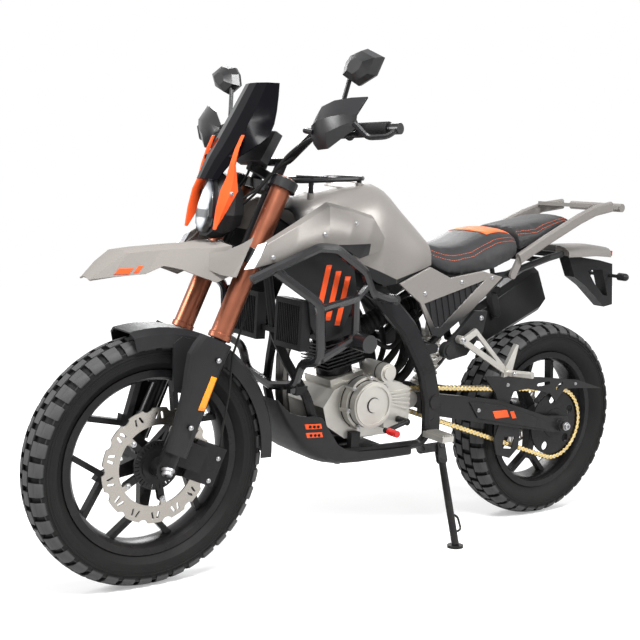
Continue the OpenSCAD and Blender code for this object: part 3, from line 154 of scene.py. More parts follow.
def new_group(name, inputs, outputs):
    """A shader node group with named float, colour or vector sockets, and its input and output nodes."""
    tree = bpy.data.node_groups.new(name, "ShaderNodeTree")
    for label, kind, default in inputs:
        socket = tree.interface.new_socket(label, in_out="INPUT", socket_type="NodeSocket" + kind)
        if default is not None:
            socket.default_value = default
    for label, kind in outputs:
        tree.interface.new_socket(label, in_out="OUTPUT", socket_type="NodeSocket" + kind)
    return tree, tree.nodes.new("NodeGroupInput").outputs, tree.nodes.new("NodeGroupOutput").inputs


def add_node(tree, kind, settings=None, **inputs):
    """A node of that kind, its settings set and its inputs given a value or joined to a socket."""
    node = tree.nodes.new("ShaderNode" + kind)
    for key, value in (settings or {}).items():
        setattr(node, key, value)
    for key, value in inputs.items():
        place = int(key[1:]) if key[0] == "i" and key[1:].isdigit() else key.replace("_", " ")
        if isinstance(value, bpy.types.NodeSocket):
            tree.links.new(value, node.inputs[place])
        else:
            node.inputs[place].default_value = value
    return node


def maths(tree, operation, a, b=0.0, clamp=False):
    """The output of a Math node on two sockets or numbers."""
    return add_node(tree, "Math", {"operation": operation, "use_clamp": clamp}, i0=a, i1=b).outputs[0]


def grain_group():
    """Fine moulded grain: small cells mixed with noise, as a height and a tone."""
    tree, given, put = new_group(
        "moulded_grain", [("Vector", "Vector", None), ("Scale", "Float", 900.0)],
        [("Height", "Float"), ("Tone", "Float")])
    cells = add_node(tree, "TexVoronoi", Vector=given["Vector"], Scale=given["Scale"])
    cloud = add_node(tree, "TexNoise", Vector=given["Vector"], Scale=14.0, Detail=4.0)
    tree.links.new(cells.outputs["Distance"], put["Height"])
    tree.links.new(cloud.outputs[0], put["Tone"])
    return tree


def dust_group():
    """Road dust: a mask that fades from the ground up to a reach, broken by noise."""
    tree, given, put = new_group(
        "road_dust", [("Vector", "Vector", None), ("Reach", "Float", 0.6), ("Amount", "Float", 0.3)],
        [("Mask", "Float")])
    height = add_node(tree, "SeparateXYZ", Vector=given["Vector"]).outputs[2]
    fade = maths(tree, "SUBTRACT", 1.0, maths(tree, "DIVIDE", height, given["Reach"]), clamp=True)
    cloud = add_node(tree, "TexNoise", Vector=given["Vector"], Scale=22.0, Detail=6.0, Roughness=0.65)
    patch = maths(tree, "MULTIPLY", fade, cloud.outputs[0])
    tree.links.new(maths(tree, "MULTIPLY", patch, given["Amount"], clamp=True), put["Mask"])
    return tree


def flake_group():
    """Metal flakes in paint: a random tone and height for each tiny cell."""
    tree, given, put = new_group(
        "paint_flake", [("Vector", "Vector", None), ("Scale", "Float", 1600.0)],
        [("Tone", "Float"), ("Height", "Float")])
    cells = add_node(tree, "TexVoronoi", Vector=given["Vector"], Scale=given["Scale"])
    tone = add_node(tree, "SeparateColor", Color=cells.outputs["Color"])
    tree.links.new(tone.outputs[0], put["Tone"])
    tree.links.new(tone.outputs[1], put["Height"])
    return tree


def brush_group():
    """Brush marks round an axle: noise on the distance from the y axis of a centred vector."""
    tree, given, put = new_group(
        "brush_marks", [("Vector", "Vector", None), ("Scale", "Float", 900.0)], [("Tone", "Float")])
    flat = add_node(tree, "VectorMath", {"operation": "MULTIPLY"}, i0=given["Vector"], i1=(1, 0, 1))
    radius = add_node(tree, "VectorMath", {"operation": "LENGTH"}, i0=flat.outputs[0]).outputs["Value"]
    lines = add_node(tree, "TexNoise", {"noise_dimensions": "1D"}, Scale=given["Scale"], Detail=3.0, W=radius)
    tree.links.new(lines.outputs[0], put["Tone"])
    return tree


class Finish:
    """A material round one Principled BSDF, with short calls that add its nodes."""

    def __init__(self, name, base=None, **sockets):
        self.material = bpy.data.materials.new(name)
        self.material.use_nodes = True
        self.tree = self.material.node_tree
        self.shader = self.tree.nodes["Principled BSDF"]
        self.place = self.tree.nodes.new("ShaderNodeTexCoord").outputs["Object"]
        self.base = (*base, 1.0) if base is not None else None
        if base is not None:
            self.shader.inputs["Base Color"].default_value = self.base
        for key, value in sockets.items():
            self.shader.inputs[key.replace("_", " ")].default_value = value

    def node(self, kind, settings=None, **inputs):
        """A node in this material."""
        return add_node(self.tree, kind, settings, **inputs)

    def group(self, name, vector=None, **inputs):
        """A placed node group fed with Object coordinates or a vector."""
        node = self.tree.nodes.new("ShaderNodeGroup")
        node.node_tree = bpy.data.node_groups[name]
        self.tree.links.new(vector or self.place, node.inputs["Vector"])
        for key, value in inputs.items():
            node.inputs[key].default_value = value
        return node.outputs

    def centred(self, place):
        """Object coordinates from a place on the machine, with its lean taken out."""
        return self.node(
            "Mapping", {"vector_type": "TEXTURE"}, Vector=self.place, Location=tuple(place),
            Rotation=(-LEAN, 0, 0)).outputs[0]

    def within(self, outline, soft):
        """A mask inside a convex x and z outline, upright: the least distance to an edge, over a width."""
        place = self.centred(ORIGIN)
        points = np.array(outline, float) / 1000
        ahead = np.roll(points, -1, axis=0) - points
        inward = np.stack([-ahead[:, 1], ahead[:, 0]], -1)
        inward *= np.sign(np.cross(ahead[0], ahead[1])) / np.linalg.norm(ahead, axis=1, keepdims=True)
        least = None
        for point, way in zip(points, inward):
            along = self.node("VectorMath", {"operation": "DOT_PRODUCT"}, i0=place, i1=(way[0], 0, way[1]))
            depth = maths(self.tree, "SUBTRACT", along.outputs["Value"], float(point @ way))
            least = depth if least is None else maths(self.tree, "MINIMUM", least, depth)
        return self.node("MapRange", Value=least, From_Max=soft / 1000).outputs[0]

    def feed(self, socket, output):
        """Joins an output to one of the shader's sockets."""
        self.tree.links.new(output, self.shader.inputs[socket])

    def bump(self, height, strength, distance):
        """Feeds a height through a Bump node to Normal."""
        node = self.node("Bump", Height=height, Strength=strength, Distance=distance)
        self.feed("Normal", node.outputs[0])

    def span(self, value, low, high):
        """A value from 0 to 1 spread between two others."""
        return self.node("MapRange", Value=value, To_Min=low, To_Max=high).outputs[0]

    def blend(self, mask, a, b):
        """A colour between two, by a mask."""
        node = self.node("Mix", {"data_type": "RGBA"}, i0=mask)
        for place, value in ((6, a), (7, b)):
            if isinstance(value, bpy.types.NodeSocket):
                self.tree.links.new(value, node.inputs[place])
            else:
                node.inputs[place].default_value = value
        return node.outputs[2]

    def shaded(self, tone, low, high):
        """The base colour darkened and lightened by a tone from 0 to 1."""
        dim = tuple(c * low for c in self.base[:3]) + (1.0,)
        lit = tuple(min(1.0, c * high) for c in self.base[:3]) + (1.0,)
        return self.blend(tone, dim, lit)

    def dusty(self, paint, reach, amount):
        """A colour with road dust laid over its lower part."""
        return self.blend(self.group("road_dust", Reach=reach, Amount=amount)["Mask"], paint, DUST)


DUST = (0.20, 0.18, 0.155, 1.0)
LENS_DARK = (0.008, 0.008, 0.009, 1.0)
LENS_RIM = (0.10, 0.115, 0.13, 1.0)
PANEL_DARK = (0.010, 0.010, 0.011, 1.0)
# Half axes of the lit oval, large along x so that depth doesn't count, and the drop of the band
# under its middle
LENS_HALF = (9.0, 0.031, 0.066)
LENS_BAND_DROP = 0.020
# Height of the tread blocks over their root, and the fall of the tread towards its shoulder
# by the share of half width
BLOCK_DEPTH = 0.009
TREAD_FALL = (0.0165, 0.009)
# Paler rubber of the raised block tops: partly wear, partly a painted highlight
WORN_AND_LIT_RUBBER = (0.055, 0.055, 0.056, 1.0)


def paint_silver(name, base, dark=(), shine=1.0):
    """Metallic body paint: flake tone, a clear coat, a faint ripple, and dark plastic inside outlines."""
    made = Finish(
        name, base, Metallic=0.4 * shine, Coat_Weight=0.12 * shine, Coat_Roughness=0.15,
        Specular_IOR_Level=0.3 * shine)
    flake = made.group("paint_flake", Scale=2200.0)
    paint = made.shaded(flake["Tone"], 0.88, 1.12)
    for outline, soft in dark:
        paint = made.blend(made.within(outline, soft), paint, PANEL_DARK)
    made.feed("Base Color", paint)
    made.feed("Roughness", made.span(flake["Height"], 0.33, 0.46))
    made.bump(flake["Height"], 0.05, 0.0004)
    return made


def paint_grained(name, base, rough, scale, depth, reach=0.7, dust=0.10):
    """Moulded or coated surface: grain in the height, cloudy roughness and dust low down."""
    made = Finish(name, base, Specular_IOR_Level=0.15)
    grain = made.group("moulded_grain", Scale=scale)
    made.feed("Base Color", made.dusty(made.shaded(grain["Tone"], 0.75, 1.3), reach, dust))
    made.feed("Roughness", made.span(grain["Tone"], rough - 0.09, rough + 0.12))
    made.bump(grain["Height"], depth, 0.0006)
    return made


def paint_metal(name, base, rough, scale, depth, reach=0.5, dust=0.12):
    """Bare or plated metal: cloudy tone and roughness, fine pitting and a little dust."""
    made = Finish(name, base, Metallic=0.9)
    grain = made.group("moulded_grain", Scale=scale)
    made.feed("Base Color", made.dusty(made.shaded(grain["Tone"], 0.8, 1.2), reach, dust))
    made.feed("Roughness", made.span(grain["Tone"], rough - 0.1, rough + 0.14))
    made.bump(grain["Height"], depth, 0.0005)
    return made


def paint_brushed(name, base, axle):
    """Brushed disc: fine rings of tone and roughness round an axle."""
    made = Finish(name, base, Metallic=1.0)
    rings = made.group("brush_marks", made.centred(axle), Scale=1400.0)
    made.feed("Base Color", made.dusty(made.shaded(rings["Tone"], 0.7, 1.25), 0.7, 0.15))
    made.feed("Roughness", made.span(rings["Tone"], 0.16, 0.42))
    return made


def paint_lamp(name, base, eye=None):
    """Lit lens: a white reflector with a soft glow, dark round a headlight's eye and in a band across it."""
    made = Finish(name, base, Coat_Weight=0.3, Coat_Roughness=0.03, Emission_Strength=0.45)
    cells = made.node("TexVoronoi", Vector=made.place, Scale=120.0)
    glow = made.shaded(cells.outputs["Distance"], 0.7, 1.15)
    if eye is not None:
        centred = made.centred(eye)
        oval = made.node("VectorMath", {"operation": "DIVIDE"}, i0=centred, i1=LENS_HALF).outputs[0]
        reach = made.node("VectorMath", {"operation": "LENGTH"}, i0=oval).outputs["Value"]
        inside = made.node("MapRange", Value=reach, From_Min=1.04, From_Max=0.94).outputs[0]
        height = made.node("SeparateXYZ", Vector=centred).outputs[2]
        away = maths(made.tree, "ABSOLUTE", maths(made.tree, "ADD", height, LENS_BAND_DROP))
        lit = made.node("MapRange", Value=away, From_Min=0.009, From_Max=0.015, To_Min=0.12).outputs[0]
        lit = maths(made.tree, "MULTIPLY", inside, lit)
        core = made.node("MapRange", Value=reach, From_Min=0.5, From_Max=1.0).outputs[0]
        glow = made.blend(lit, LENS_DARK, made.blend(core, glow, LENS_RIM))
        made.feed("Base Color", made.blend(lit, LENS_DARK, made.blend(core, made.base, LENS_RIM)))
    made.feed("Emission Color", glow)
    made.feed("Roughness", made.span(cells.outputs["Distance"], 0.12, 0.25))
    return made


def paint_tyre(name, base, axle, radius, half):
    """Tyre rubber: block tops paler than the grooves by their height, as wear and as a painted highlight, with
    rings and cloudy tone.
    """
    made = Finish(name, base, Specular_IOR_Level=0.15)
    tree = made.tree
    centred = made.centred(axle)
    rings = made.group("brush_marks", centred, Scale=260.0)
    grain = made.group("moulded_grain", Scale=900.0)
    flat = made.node("VectorMath", {"operation": "MULTIPLY"}, i0=centred, i1=(1, 0, 1)).outputs[0]
    reach = made.node("VectorMath", {"operation": "LENGTH"}, i0=flat).outputs["Value"]
    share = maths(tree, "DIVIDE", made.node("SeparateXYZ", Vector=centred).outputs[1], half)
    fall = maths(tree, "MULTIPLY", maths(tree, "POWER", share, 2.0), TREAD_FALL[0])
    steep = maths(tree, "MULTIPLY", maths(tree, "POWER", share, 6.0), TREAD_FALL[1])
    raised = maths(tree, "ADD", reach, fall)
    height = maths(tree, "ADD", raised, maths(tree, "SUBTRACT", steep, radius - BLOCK_DEPTH))
    # Block tops painted paler by their height: partly worn rubber, partly a painted highlight
    worn = made.node("MapRange", Value=height, From_Min=BLOCK_DEPTH * 0.55, From_Max=BLOCK_DEPTH * 0.95)
    rubber = made.blend(worn.outputs[0], made.shaded(grain["Tone"], 0.7, 1.35), WORN_AND_LIT_RUBBER)
    made.feed("Base Color", made.dusty(rubber, 0.8, 0.035))
    made.feed("Roughness", made.span(grain["Tone"], 0.45, 0.70))
    made.bump(maths(tree, "ADD", rings["Tone"], grain["Height"]), 0.22, 0.0009)
    return made


def paint_gloss(name, base, gloss=0.35, smooth=0.06):
    """Glossy plastic or lacquer: smooth with faint swirls in its tone and roughness."""
    made = Finish(name, base, Specular_IOR_Level=gloss)
    cloud = made.node("TexNoise", Vector=made.place, Scale=30.0, Detail=3.0)
    made.feed("Base Color", made.shaded(cloud.outputs[0], 0.85, 1.15))
    made.feed("Roughness", made.span(cloud.outputs[0], smooth, smooth + 0.1))
    return made


def paint_mirror(name, base):
    """Silvered glass: a mirror with faint clouds in its roughness."""
    made = Finish(name, base, Metallic=1.0)
    cloud = made.node("TexNoise", Vector=made.place, Scale=18.0, Detail=2.0)
    made.feed("Roughness", made.span(cloud.outputs[0], 0.02, 0.06))
    return made


def paint_leather(name, base):
    """Grained seat cover: creased cells in the height and worn lighter patches."""
    made = Finish(name, base, Sheen_Weight=0.06, Specular_IOR_Level=0.3)
    cells = made.node("TexVoronoi", {"feature": "DISTANCE_TO_EDGE"}, Vector=made.place, Scale=420.0)
    cloud = made.group("moulded_grain", Scale=700.0)
    made.feed("Base Color", made.shaded(cloud["Tone"], 0.7, 1.5))
    made.feed("Roughness", made.span(cloud["Tone"], 0.42, 0.62))
    made.bump(cells.outputs["Distance"], 0.35, 0.0012)
    return made


def build_finishes(colours):
    """Every finish by the name of the record's material slot or of its trim."""
    for group in (grain_group, dust_group, flake_group, brush_group):
        group()
    return {
        name: make(name, tuple(getattr(colours, slot)), *values).material
        for name, (make, slot, *values) in RECIPES.items()}


FINISHES = {}
# Dark plastic parts of the bodywork: outline as x and z of the upright machine, and width of its edge
TANK_DARK = [
    ([(240, 872), (40, 807), (40, 700), (240, 700)], 0.5),
    ([(40, 807), (-140, 854), (-140, 700), (40, 700)], 0.5),
    ([(296, 900), (420, 900), (420, 1060), (296, 1060)], 46.0),
]
SIDE_DARK = [([(100, 700), (-420, 800), (-420, 400), (100, 400)], 70.0)]
COVER_DARK = [([(301, 905), (176, 908), (176, 850), (301, 850)], 0.5)]
# Radius and half width of each tyre
TYRE_SIZES = {"front": (0.328, 0.055), "rear": (0.324, 0.070)}
# How each finish is painted, the colour it takes, and the values of its paint
RECIPES = {
    "silver_paint": (paint_silver, "silver_paint"),
    "beak_paint": (paint_silver, "silver_paint", (), 0.0),
    "tank_paint": (paint_silver, "silver_paint", TANK_DARK),
    "side_paint": (paint_silver, "silver_paint", SIDE_DARK),
    "cover_paint": (paint_silver, "silver_paint", COVER_DARK),
    "dark_paint": (paint_grained, "dark_paint", 0.29, 1500.0, 0.08),
    "black_cast": (paint_grained, "black_cast", 0.25, 1100.0, 0.06),
    "black_plastic": (paint_grained, "black_plastic", 0.38, 1300.0, 0.16),
    "hose_rubber": (paint_grained, "hose_rubber", 0.60, 1200.0, 0.10),
    "tyre_rubber": (paint_tyre, "tyre_rubber", REAR_AXLE, *TYRE_SIZES["rear"]),
    "front_tyre": (paint_tyre, "tyre_rubber", FRONT_AXLE, *TYRE_SIZES["front"]),
    "silencer_paint": (paint_grained, "silencer_paint", 0.30, 1500.0, 0.08),
    "orange_plastic": (paint_grained, "orange_plastic", 0.38, 1300.0, 0.10, 0.5, 0.1),
    "bronze_anodised": (paint_metal, "bronze_anodised", 0.30, 1600.0, 0.05),
    "cast_alloy": (paint_metal, "cast_alloy", 0.46, 1000.0, 0.22),
    "chain_gold": (paint_metal, "chain_gold", 0.30, 1200.0, 0.05),
    # Dark core of the chain: greased rollers and painted shade between the links
    "chain_core": (paint_metal, "chain_core", 0.45, 1200.0, 0.05),
    "exhaust_steel": (paint_metal, "exhaust_steel", 0.32, 1400.0, 0.05),
    "disc_steel": (paint_brushed, "disc_steel", REAR_AXLE),
    "front_disc": (paint_brushed, "disc_steel", FRONT_AXLE),
    "smoked_screen": (paint_gloss, "smoked_screen", 0.07, 0.04),
    "red_lens": (paint_gloss, "red_lens"),
    "lamp_lens": (paint_lamp, "lamp_lens"),
    "headlight_lens": (paint_lamp, "lamp_lens", np.mean(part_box("headlight_lens"), axis=0)),
    "seat_cover": (paint_leather, "seat_cover"),
    "seat_accent": (paint_leather, "seat_accent"),
    "seat_thread": (paint_grained, "seat_accent", 0.55, 1800.0, 0.10, 0.5, 0.0),
    "amber_lens": (paint_gloss, "amber_lens"),
    "grip_rubber": (paint_grained, "grip_rubber", 0.66, 1500.0, 0.20),
    "bright_bolt": (paint_metal, "bright_bolt", 0.32, 1500.0, 0.05),
    "gloss_black": (paint_gloss, "gloss_black", 0.45, 0.24),
    "satin_black": (paint_gloss, "dark_paint", 0.55, 0.16),
    "mirror_glass": (paint_mirror, "mirror_glass"),
}

# Pieces made from merged copies of the solids

BODY_OF = {node: body for body, nodes in frame["record"]["behaviour"]["bodies"].items() for node in nodes}
SLOT_OF = {node: solid.material_slots[0].name.split(".")[0] for node, solid in frame["nodes"].items()}
# Edge radius of each soft-edged copy, in millimetres
EDGE_RADIUS = {
    "triple_clamps": 2.0, "fork_tubes": 1.0, "fork_legs": 1.5, "fork_guards": 1.2, "front_fender": 1.2,
    "front_caliper": 5.0, "beak": 1.2, "headlight_shell": 2.0, "light_blades": 1.6, "windscreen": 0.9,
    "dash": 4.0, "handlebar": 1.0, "hand_guards": 1.5, "mirrors": 2.0, "front_wheel": 2.0, "rear_wheel": 2.0,
    "front_disc": 0.5, "rear_disc": 0.5, "rear_sprocket": 0.6, "main_frame": 2.0, "subframe": 1.0,
    "engine_cases": 3.0, "engine_cylinder": 1.0, "radiators": 1.0, "skid_plate": 1.2, "fuel_tank": 1.6,
    "tank_rack": 1.0, "shroud_lamps": 1.0, "radiator_panels": 1.5, "crash_bars": 1.0,
    "side_panels": 2.0, "side_meshes": 0.8, "side_brackets": 2.5, "front_tyre": 1.0, "rear_tyre": 1.0,
    "headlight_lens": 1.5, "exhaust_pipe": 1.0, "brake_hose": 0.8, "rear_rack": 2.0, "tail_cover": 1.5,
    "plate_holder": 2.0, "tail_lamps": 2.0,
    "swingarm": 3.0, "shock": 1.0, "chain": 0.6, "chain_guard": 1.2, "silencer": 2.0, "foot_pegs": 1.5,
    "foot_levers": 1.0, "side_stand": 1.5,
}
SHARP_ANGLE = 32
# Fold angle over which an edge stays crisp, in degrees, for the creased covers
FOLD_ANGLES = {
    "fuel_tank": 20, "beak": 14, "mirrors": 24, "hand_guards": 20, "light_blades": 14, "windscreen": 8,
    "headlight_shell": 12, "fork_guards": 12, "front_fender": 14, "side_brackets": 10, "side_panels": 12,
}
# Finishes of nodes that differ from the rest of their slot
FINISH_OF = {
    "beak": "beak_paint", "front_tyre": "front_tyre", "front_disc": "front_disc",
    "headlight_lens": "headlight_lens", "mirrors": "gloss_black",
    "hand_guards": "gloss_black", "crash_bars": "satin_black", "triple_clamps": "satin_black",
    # The chain's own skin takes the dark core finish, a painted shade between the plated links
    "fuel_tank": "tank_paint", "side_panels": "side_paint", "chain": "chain_core",
}
FLAT_ANGLE = math.radians(0.4)
MERGE_DISTANCE = 2e-5


def merged_mesh(node, name):
    """A copy of a solid's mesh with its triangles joined and its flat faces made whole."""
    mesh = bpy.data.meshes.new(name)
    cut = bmesh.new()
    cut.from_mesh(frame["nodes"][node].data)
    bmesh.ops.remove_doubles(cut, verts=cut.verts, dist=MERGE_DISTANCE)
    bmesh.ops.dissolve_limit(cut, angle_limit=FLAT_ANGLE, verts=cut.verts, edges=cut.edges)
    cut.to_mesh(mesh)
    cut.free()
    for layer in [a for a in mesh.attributes if a.name == "custom_normal"]:
        mesh.attributes.remove(layer)
    return mesh


def placed(name, mesh, body, finish, fold=SHARP_ANGLE):
    """An object at the origin with that mesh and finish, crisp at folds over an angle, riding on a body."""
    mesh.shade_smooth()
    mesh.set_sharp_from_angle(angle=math.radians(fold))
    mesh.materials.clear()
    mesh.materials.append(FINISHES[finish])
    piece = bpy.data.objects.new(name, mesh)
    bpy.context.scene.collection.objects.link(piece)
    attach(piece, body)
    return piece


def rounded(piece, width, fold):
    """A bevel along the edges that fold by more than an angle in degrees."""
    bevel = piece.modifiers.new("rounded", "BEVEL")
    bevel.width = width
    bevel.segments = 2
    bevel.limit_method = "ANGLE"
    bevel.angle_limit = math.radians(fold)
    bevel.harden_normals = True


def softened(node, radius_mm):
    """A merged copy of a solid: smooth where it curves, and its sharp edges rounded by a bevel."""
    finish = FINISH_OF.get(node, SLOT_OF[node])
    fold = FOLD_ANGLES.get(node, SHARP_ANGLE)
    name = node + "_skin"
    piece = placed(name, merged_mesh(node, name), BODY_OF[node], finish, fold)
    rounded(piece, radius_mm / 1000, fold)
    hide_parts(node)
    return piece


class MOTO_OT_solids(bpy.types.Operator):
    """Give every solid its finish and the rigid ones soft edges"""

    bl_idname = "moto.solids"
    bl_label = "Finish the solids"

    def execute(self, context):
        FINISHES.update(build_finishes(context.scene.moto_colours))
        for node, solid in frame["nodes"].items():
            solid.material_slots[0].material = FINISHES[SLOT_OF[node]]
        for node, radius in EDGE_RADIUS.items():
            softened(node, radius)
        return {"FINISHED"}


# Surfaces worked out on grids


def lattice(grid, wrap=False):
    """Points and quads of a grid of rows and columns, joined round along its rows where it wraps."""
    rows, columns = grid.shape[:2]
    i, j = np.meshgrid(np.arange(rows - 1), np.arange(columns - (not wrap)), indexing="ij")
    k = (j + 1) % columns
    quads = np.stack([i * columns + j, i * columns + k, (i + 1) * columns + k, (i + 1) * columns + j], -1)
    return grid.reshape(-1, 3), quads.reshape(-1, 4)


def turned_to(axis):
    """The turn that takes +Z to an axis."""
    return np.array(Vector(axis).to_track_quat("Z", "X").to_matrix())


def revolved(profile, sides, place, axis):
    """A profile of radius and height round an axis: (r cos a, r sin a, h), stood on the axis at a place."""
    profile = np.asarray(profile, float)
    angle = np.arange(sides) * 2 * math.pi / sides
    grid = np.empty((len(profile), sides, 3))
    grid[..., 0] = profile[:, :1] * np.cos(angle)
    grid[..., 1] = profile[:, :1] * np.sin(angle)
    grid[..., 2] = profile[:, 1:]
    return lattice(grid @ turned_to(axis).T + np.asarray(place), wrap=True)


def unit(vectors):
    """Vectors made one long."""
    return vectors / np.linalg.norm(vectors, axis=-1, keepdims=True)


def tube(path, radius, sides=10):
    """A round profile along a path: centre + r (n cos a + b sin a), n and b square to it, ends closed."""
    path = np.asarray(path, float)
    along = unit(np.gradient(path, axis=0))
    side = unit(np.cross(along, TUBE_UP))
    rise = np.cross(side, along)
    rows = np.r_[0, np.arange(len(path)), len(path) - 1]
    swell = np.broadcast_to(radius, len(path))[rows].copy()
    swell[[0, -1]] = 0
    angle = (np.arange(sides) * 2 * math.pi / sides)[:, None]
    round_it = side[rows, None] * np.cos(angle) + rise[rows, None] * np.sin(angle)
    return lattice(path[rows, None] + swell[:, None, None] * round_it, wrap=True)


TUBE_UP = (0.31, 0.52, 0.80)


def hoop(radius, y, steps):
    """Points of a circle across the machine: r cos a, y, r sin a, as a goes once round."""
    turn = np.linspace(0, 2 * math.pi, steps)
    return np.stack([radius * np.cos(turn), y + 0 * turn, radius * np.sin(turn)], -1)


def smooth_path(points, count):
    """A path through points by cubic pieces, each with the slope of the chord between its neighbours."""
    points = np.asarray(points, float)
    ends = np.concatenate([2 * points[:1] - points[1:2], points, 2 * points[-1:] - points[-2:-1]])
    t = np.linspace(0, len(points) - 1 - 1e-9, count)
    k = t.astype(int)
    f = (t - k)[:, None]
    a, b, c, d = (ends[k + n] for n in range(4))
    return 0.5 * (2 * b + (c - a) * f + (2 * a - 5 * b + 4 * c - d) * f**2 + (3 * b - a - 3 * c + d) * f**3)


def new_piece(name, parts, body, finish, fold=SHARP_ANGLE):
    """One object from lists of points and quads, its doubles merged and its faces turned outwards."""
    starts = np.cumsum([0] + [len(points) for points, _ in parts])
    points = np.concatenate([points for points, _ in parts])
    faces = np.concatenate([quads + start for (_, quads), start in zip(parts, starts)])
    mesh = bpy.data.meshes.new(name)
    mesh.from_pydata(points.tolist(), [], faces.tolist())
    cut = bmesh.new()
    cut.from_mesh(mesh)
    bmesh.ops.remove_doubles(cut, verts=cut.verts, dist=MERGE_DISTANCE)
    bmesh.ops.recalc_face_normals(cut, faces=cut.faces)
    cut.to_mesh(mesh)
    cut.free()
    return placed(name, mesh, body, finish, fold)


def baked(piece):
    """Takes what a piece's modifiers make of it into its own mesh, and takes the modifiers off."""
    made = bpy.data.meshes.new_from_object(piece.evaluated_get(bpy.context.evaluated_depsgraph_get()))
    piece.modifiers.clear()
    piece.data = made


DRAPE_REACH = 0.2
DRAPE_STEPS = (17, 9)
DRAPE_GAP = 0.0003


def draped(name, corners, node, way, body, finish, thick=0.0008, target=None):
    """A sheet between four corners, A(1-u)(1-v) + B u(1-v) + C u v + D(1-u)v, laid on a node's skin."""
    u, v = np.meshgrid(*(np.linspace(0, 1, steps) for steps in DRAPE_STEPS), indexing="ij")
    shares = np.stack([(1 - u) * (1 - v), u * (1 - v), u * v, (1 - u) * v], -1)
    points, quads = lattice(shares @ upright(corners) - DRAPE_REACH * np.asarray(way, float))
    facing = np.cross(points[quads[0, 1]] - points[quads[0, 0]], points[quads[0, 3]] - points[quads[0, 0]])
    if facing @ way > 0:
        quads = quads[:, ::-1]
    mesh = bpy.data.meshes.new(name)
    mesh.from_pydata(points.tolist(), [], quads.tolist())
    piece = placed(name, mesh, body, finish)
    wrap = piece.modifiers.new("laid", "SHRINKWRAP")
    wrap.target = target or bpy.data.objects[node + "_skin"]
    wrap.wrap_method = "PROJECT"
    axis = int(np.argmax(np.abs(way)))
    wrap.use_project_x, wrap.use_project_y, wrap.use_project_z = axis == 0, axis == 1, axis == 2
    wrap.use_negative_direction = way[axis] < 0
    wrap.use_positive_direction = way[axis] > 0
    wrap.offset = DRAPE_GAP
    wall = piece.modifiers.new("thick", "SOLIDIFY")
    wall.thickness = thick
    wall.offset = 1.0
    baked(piece)
    return piece


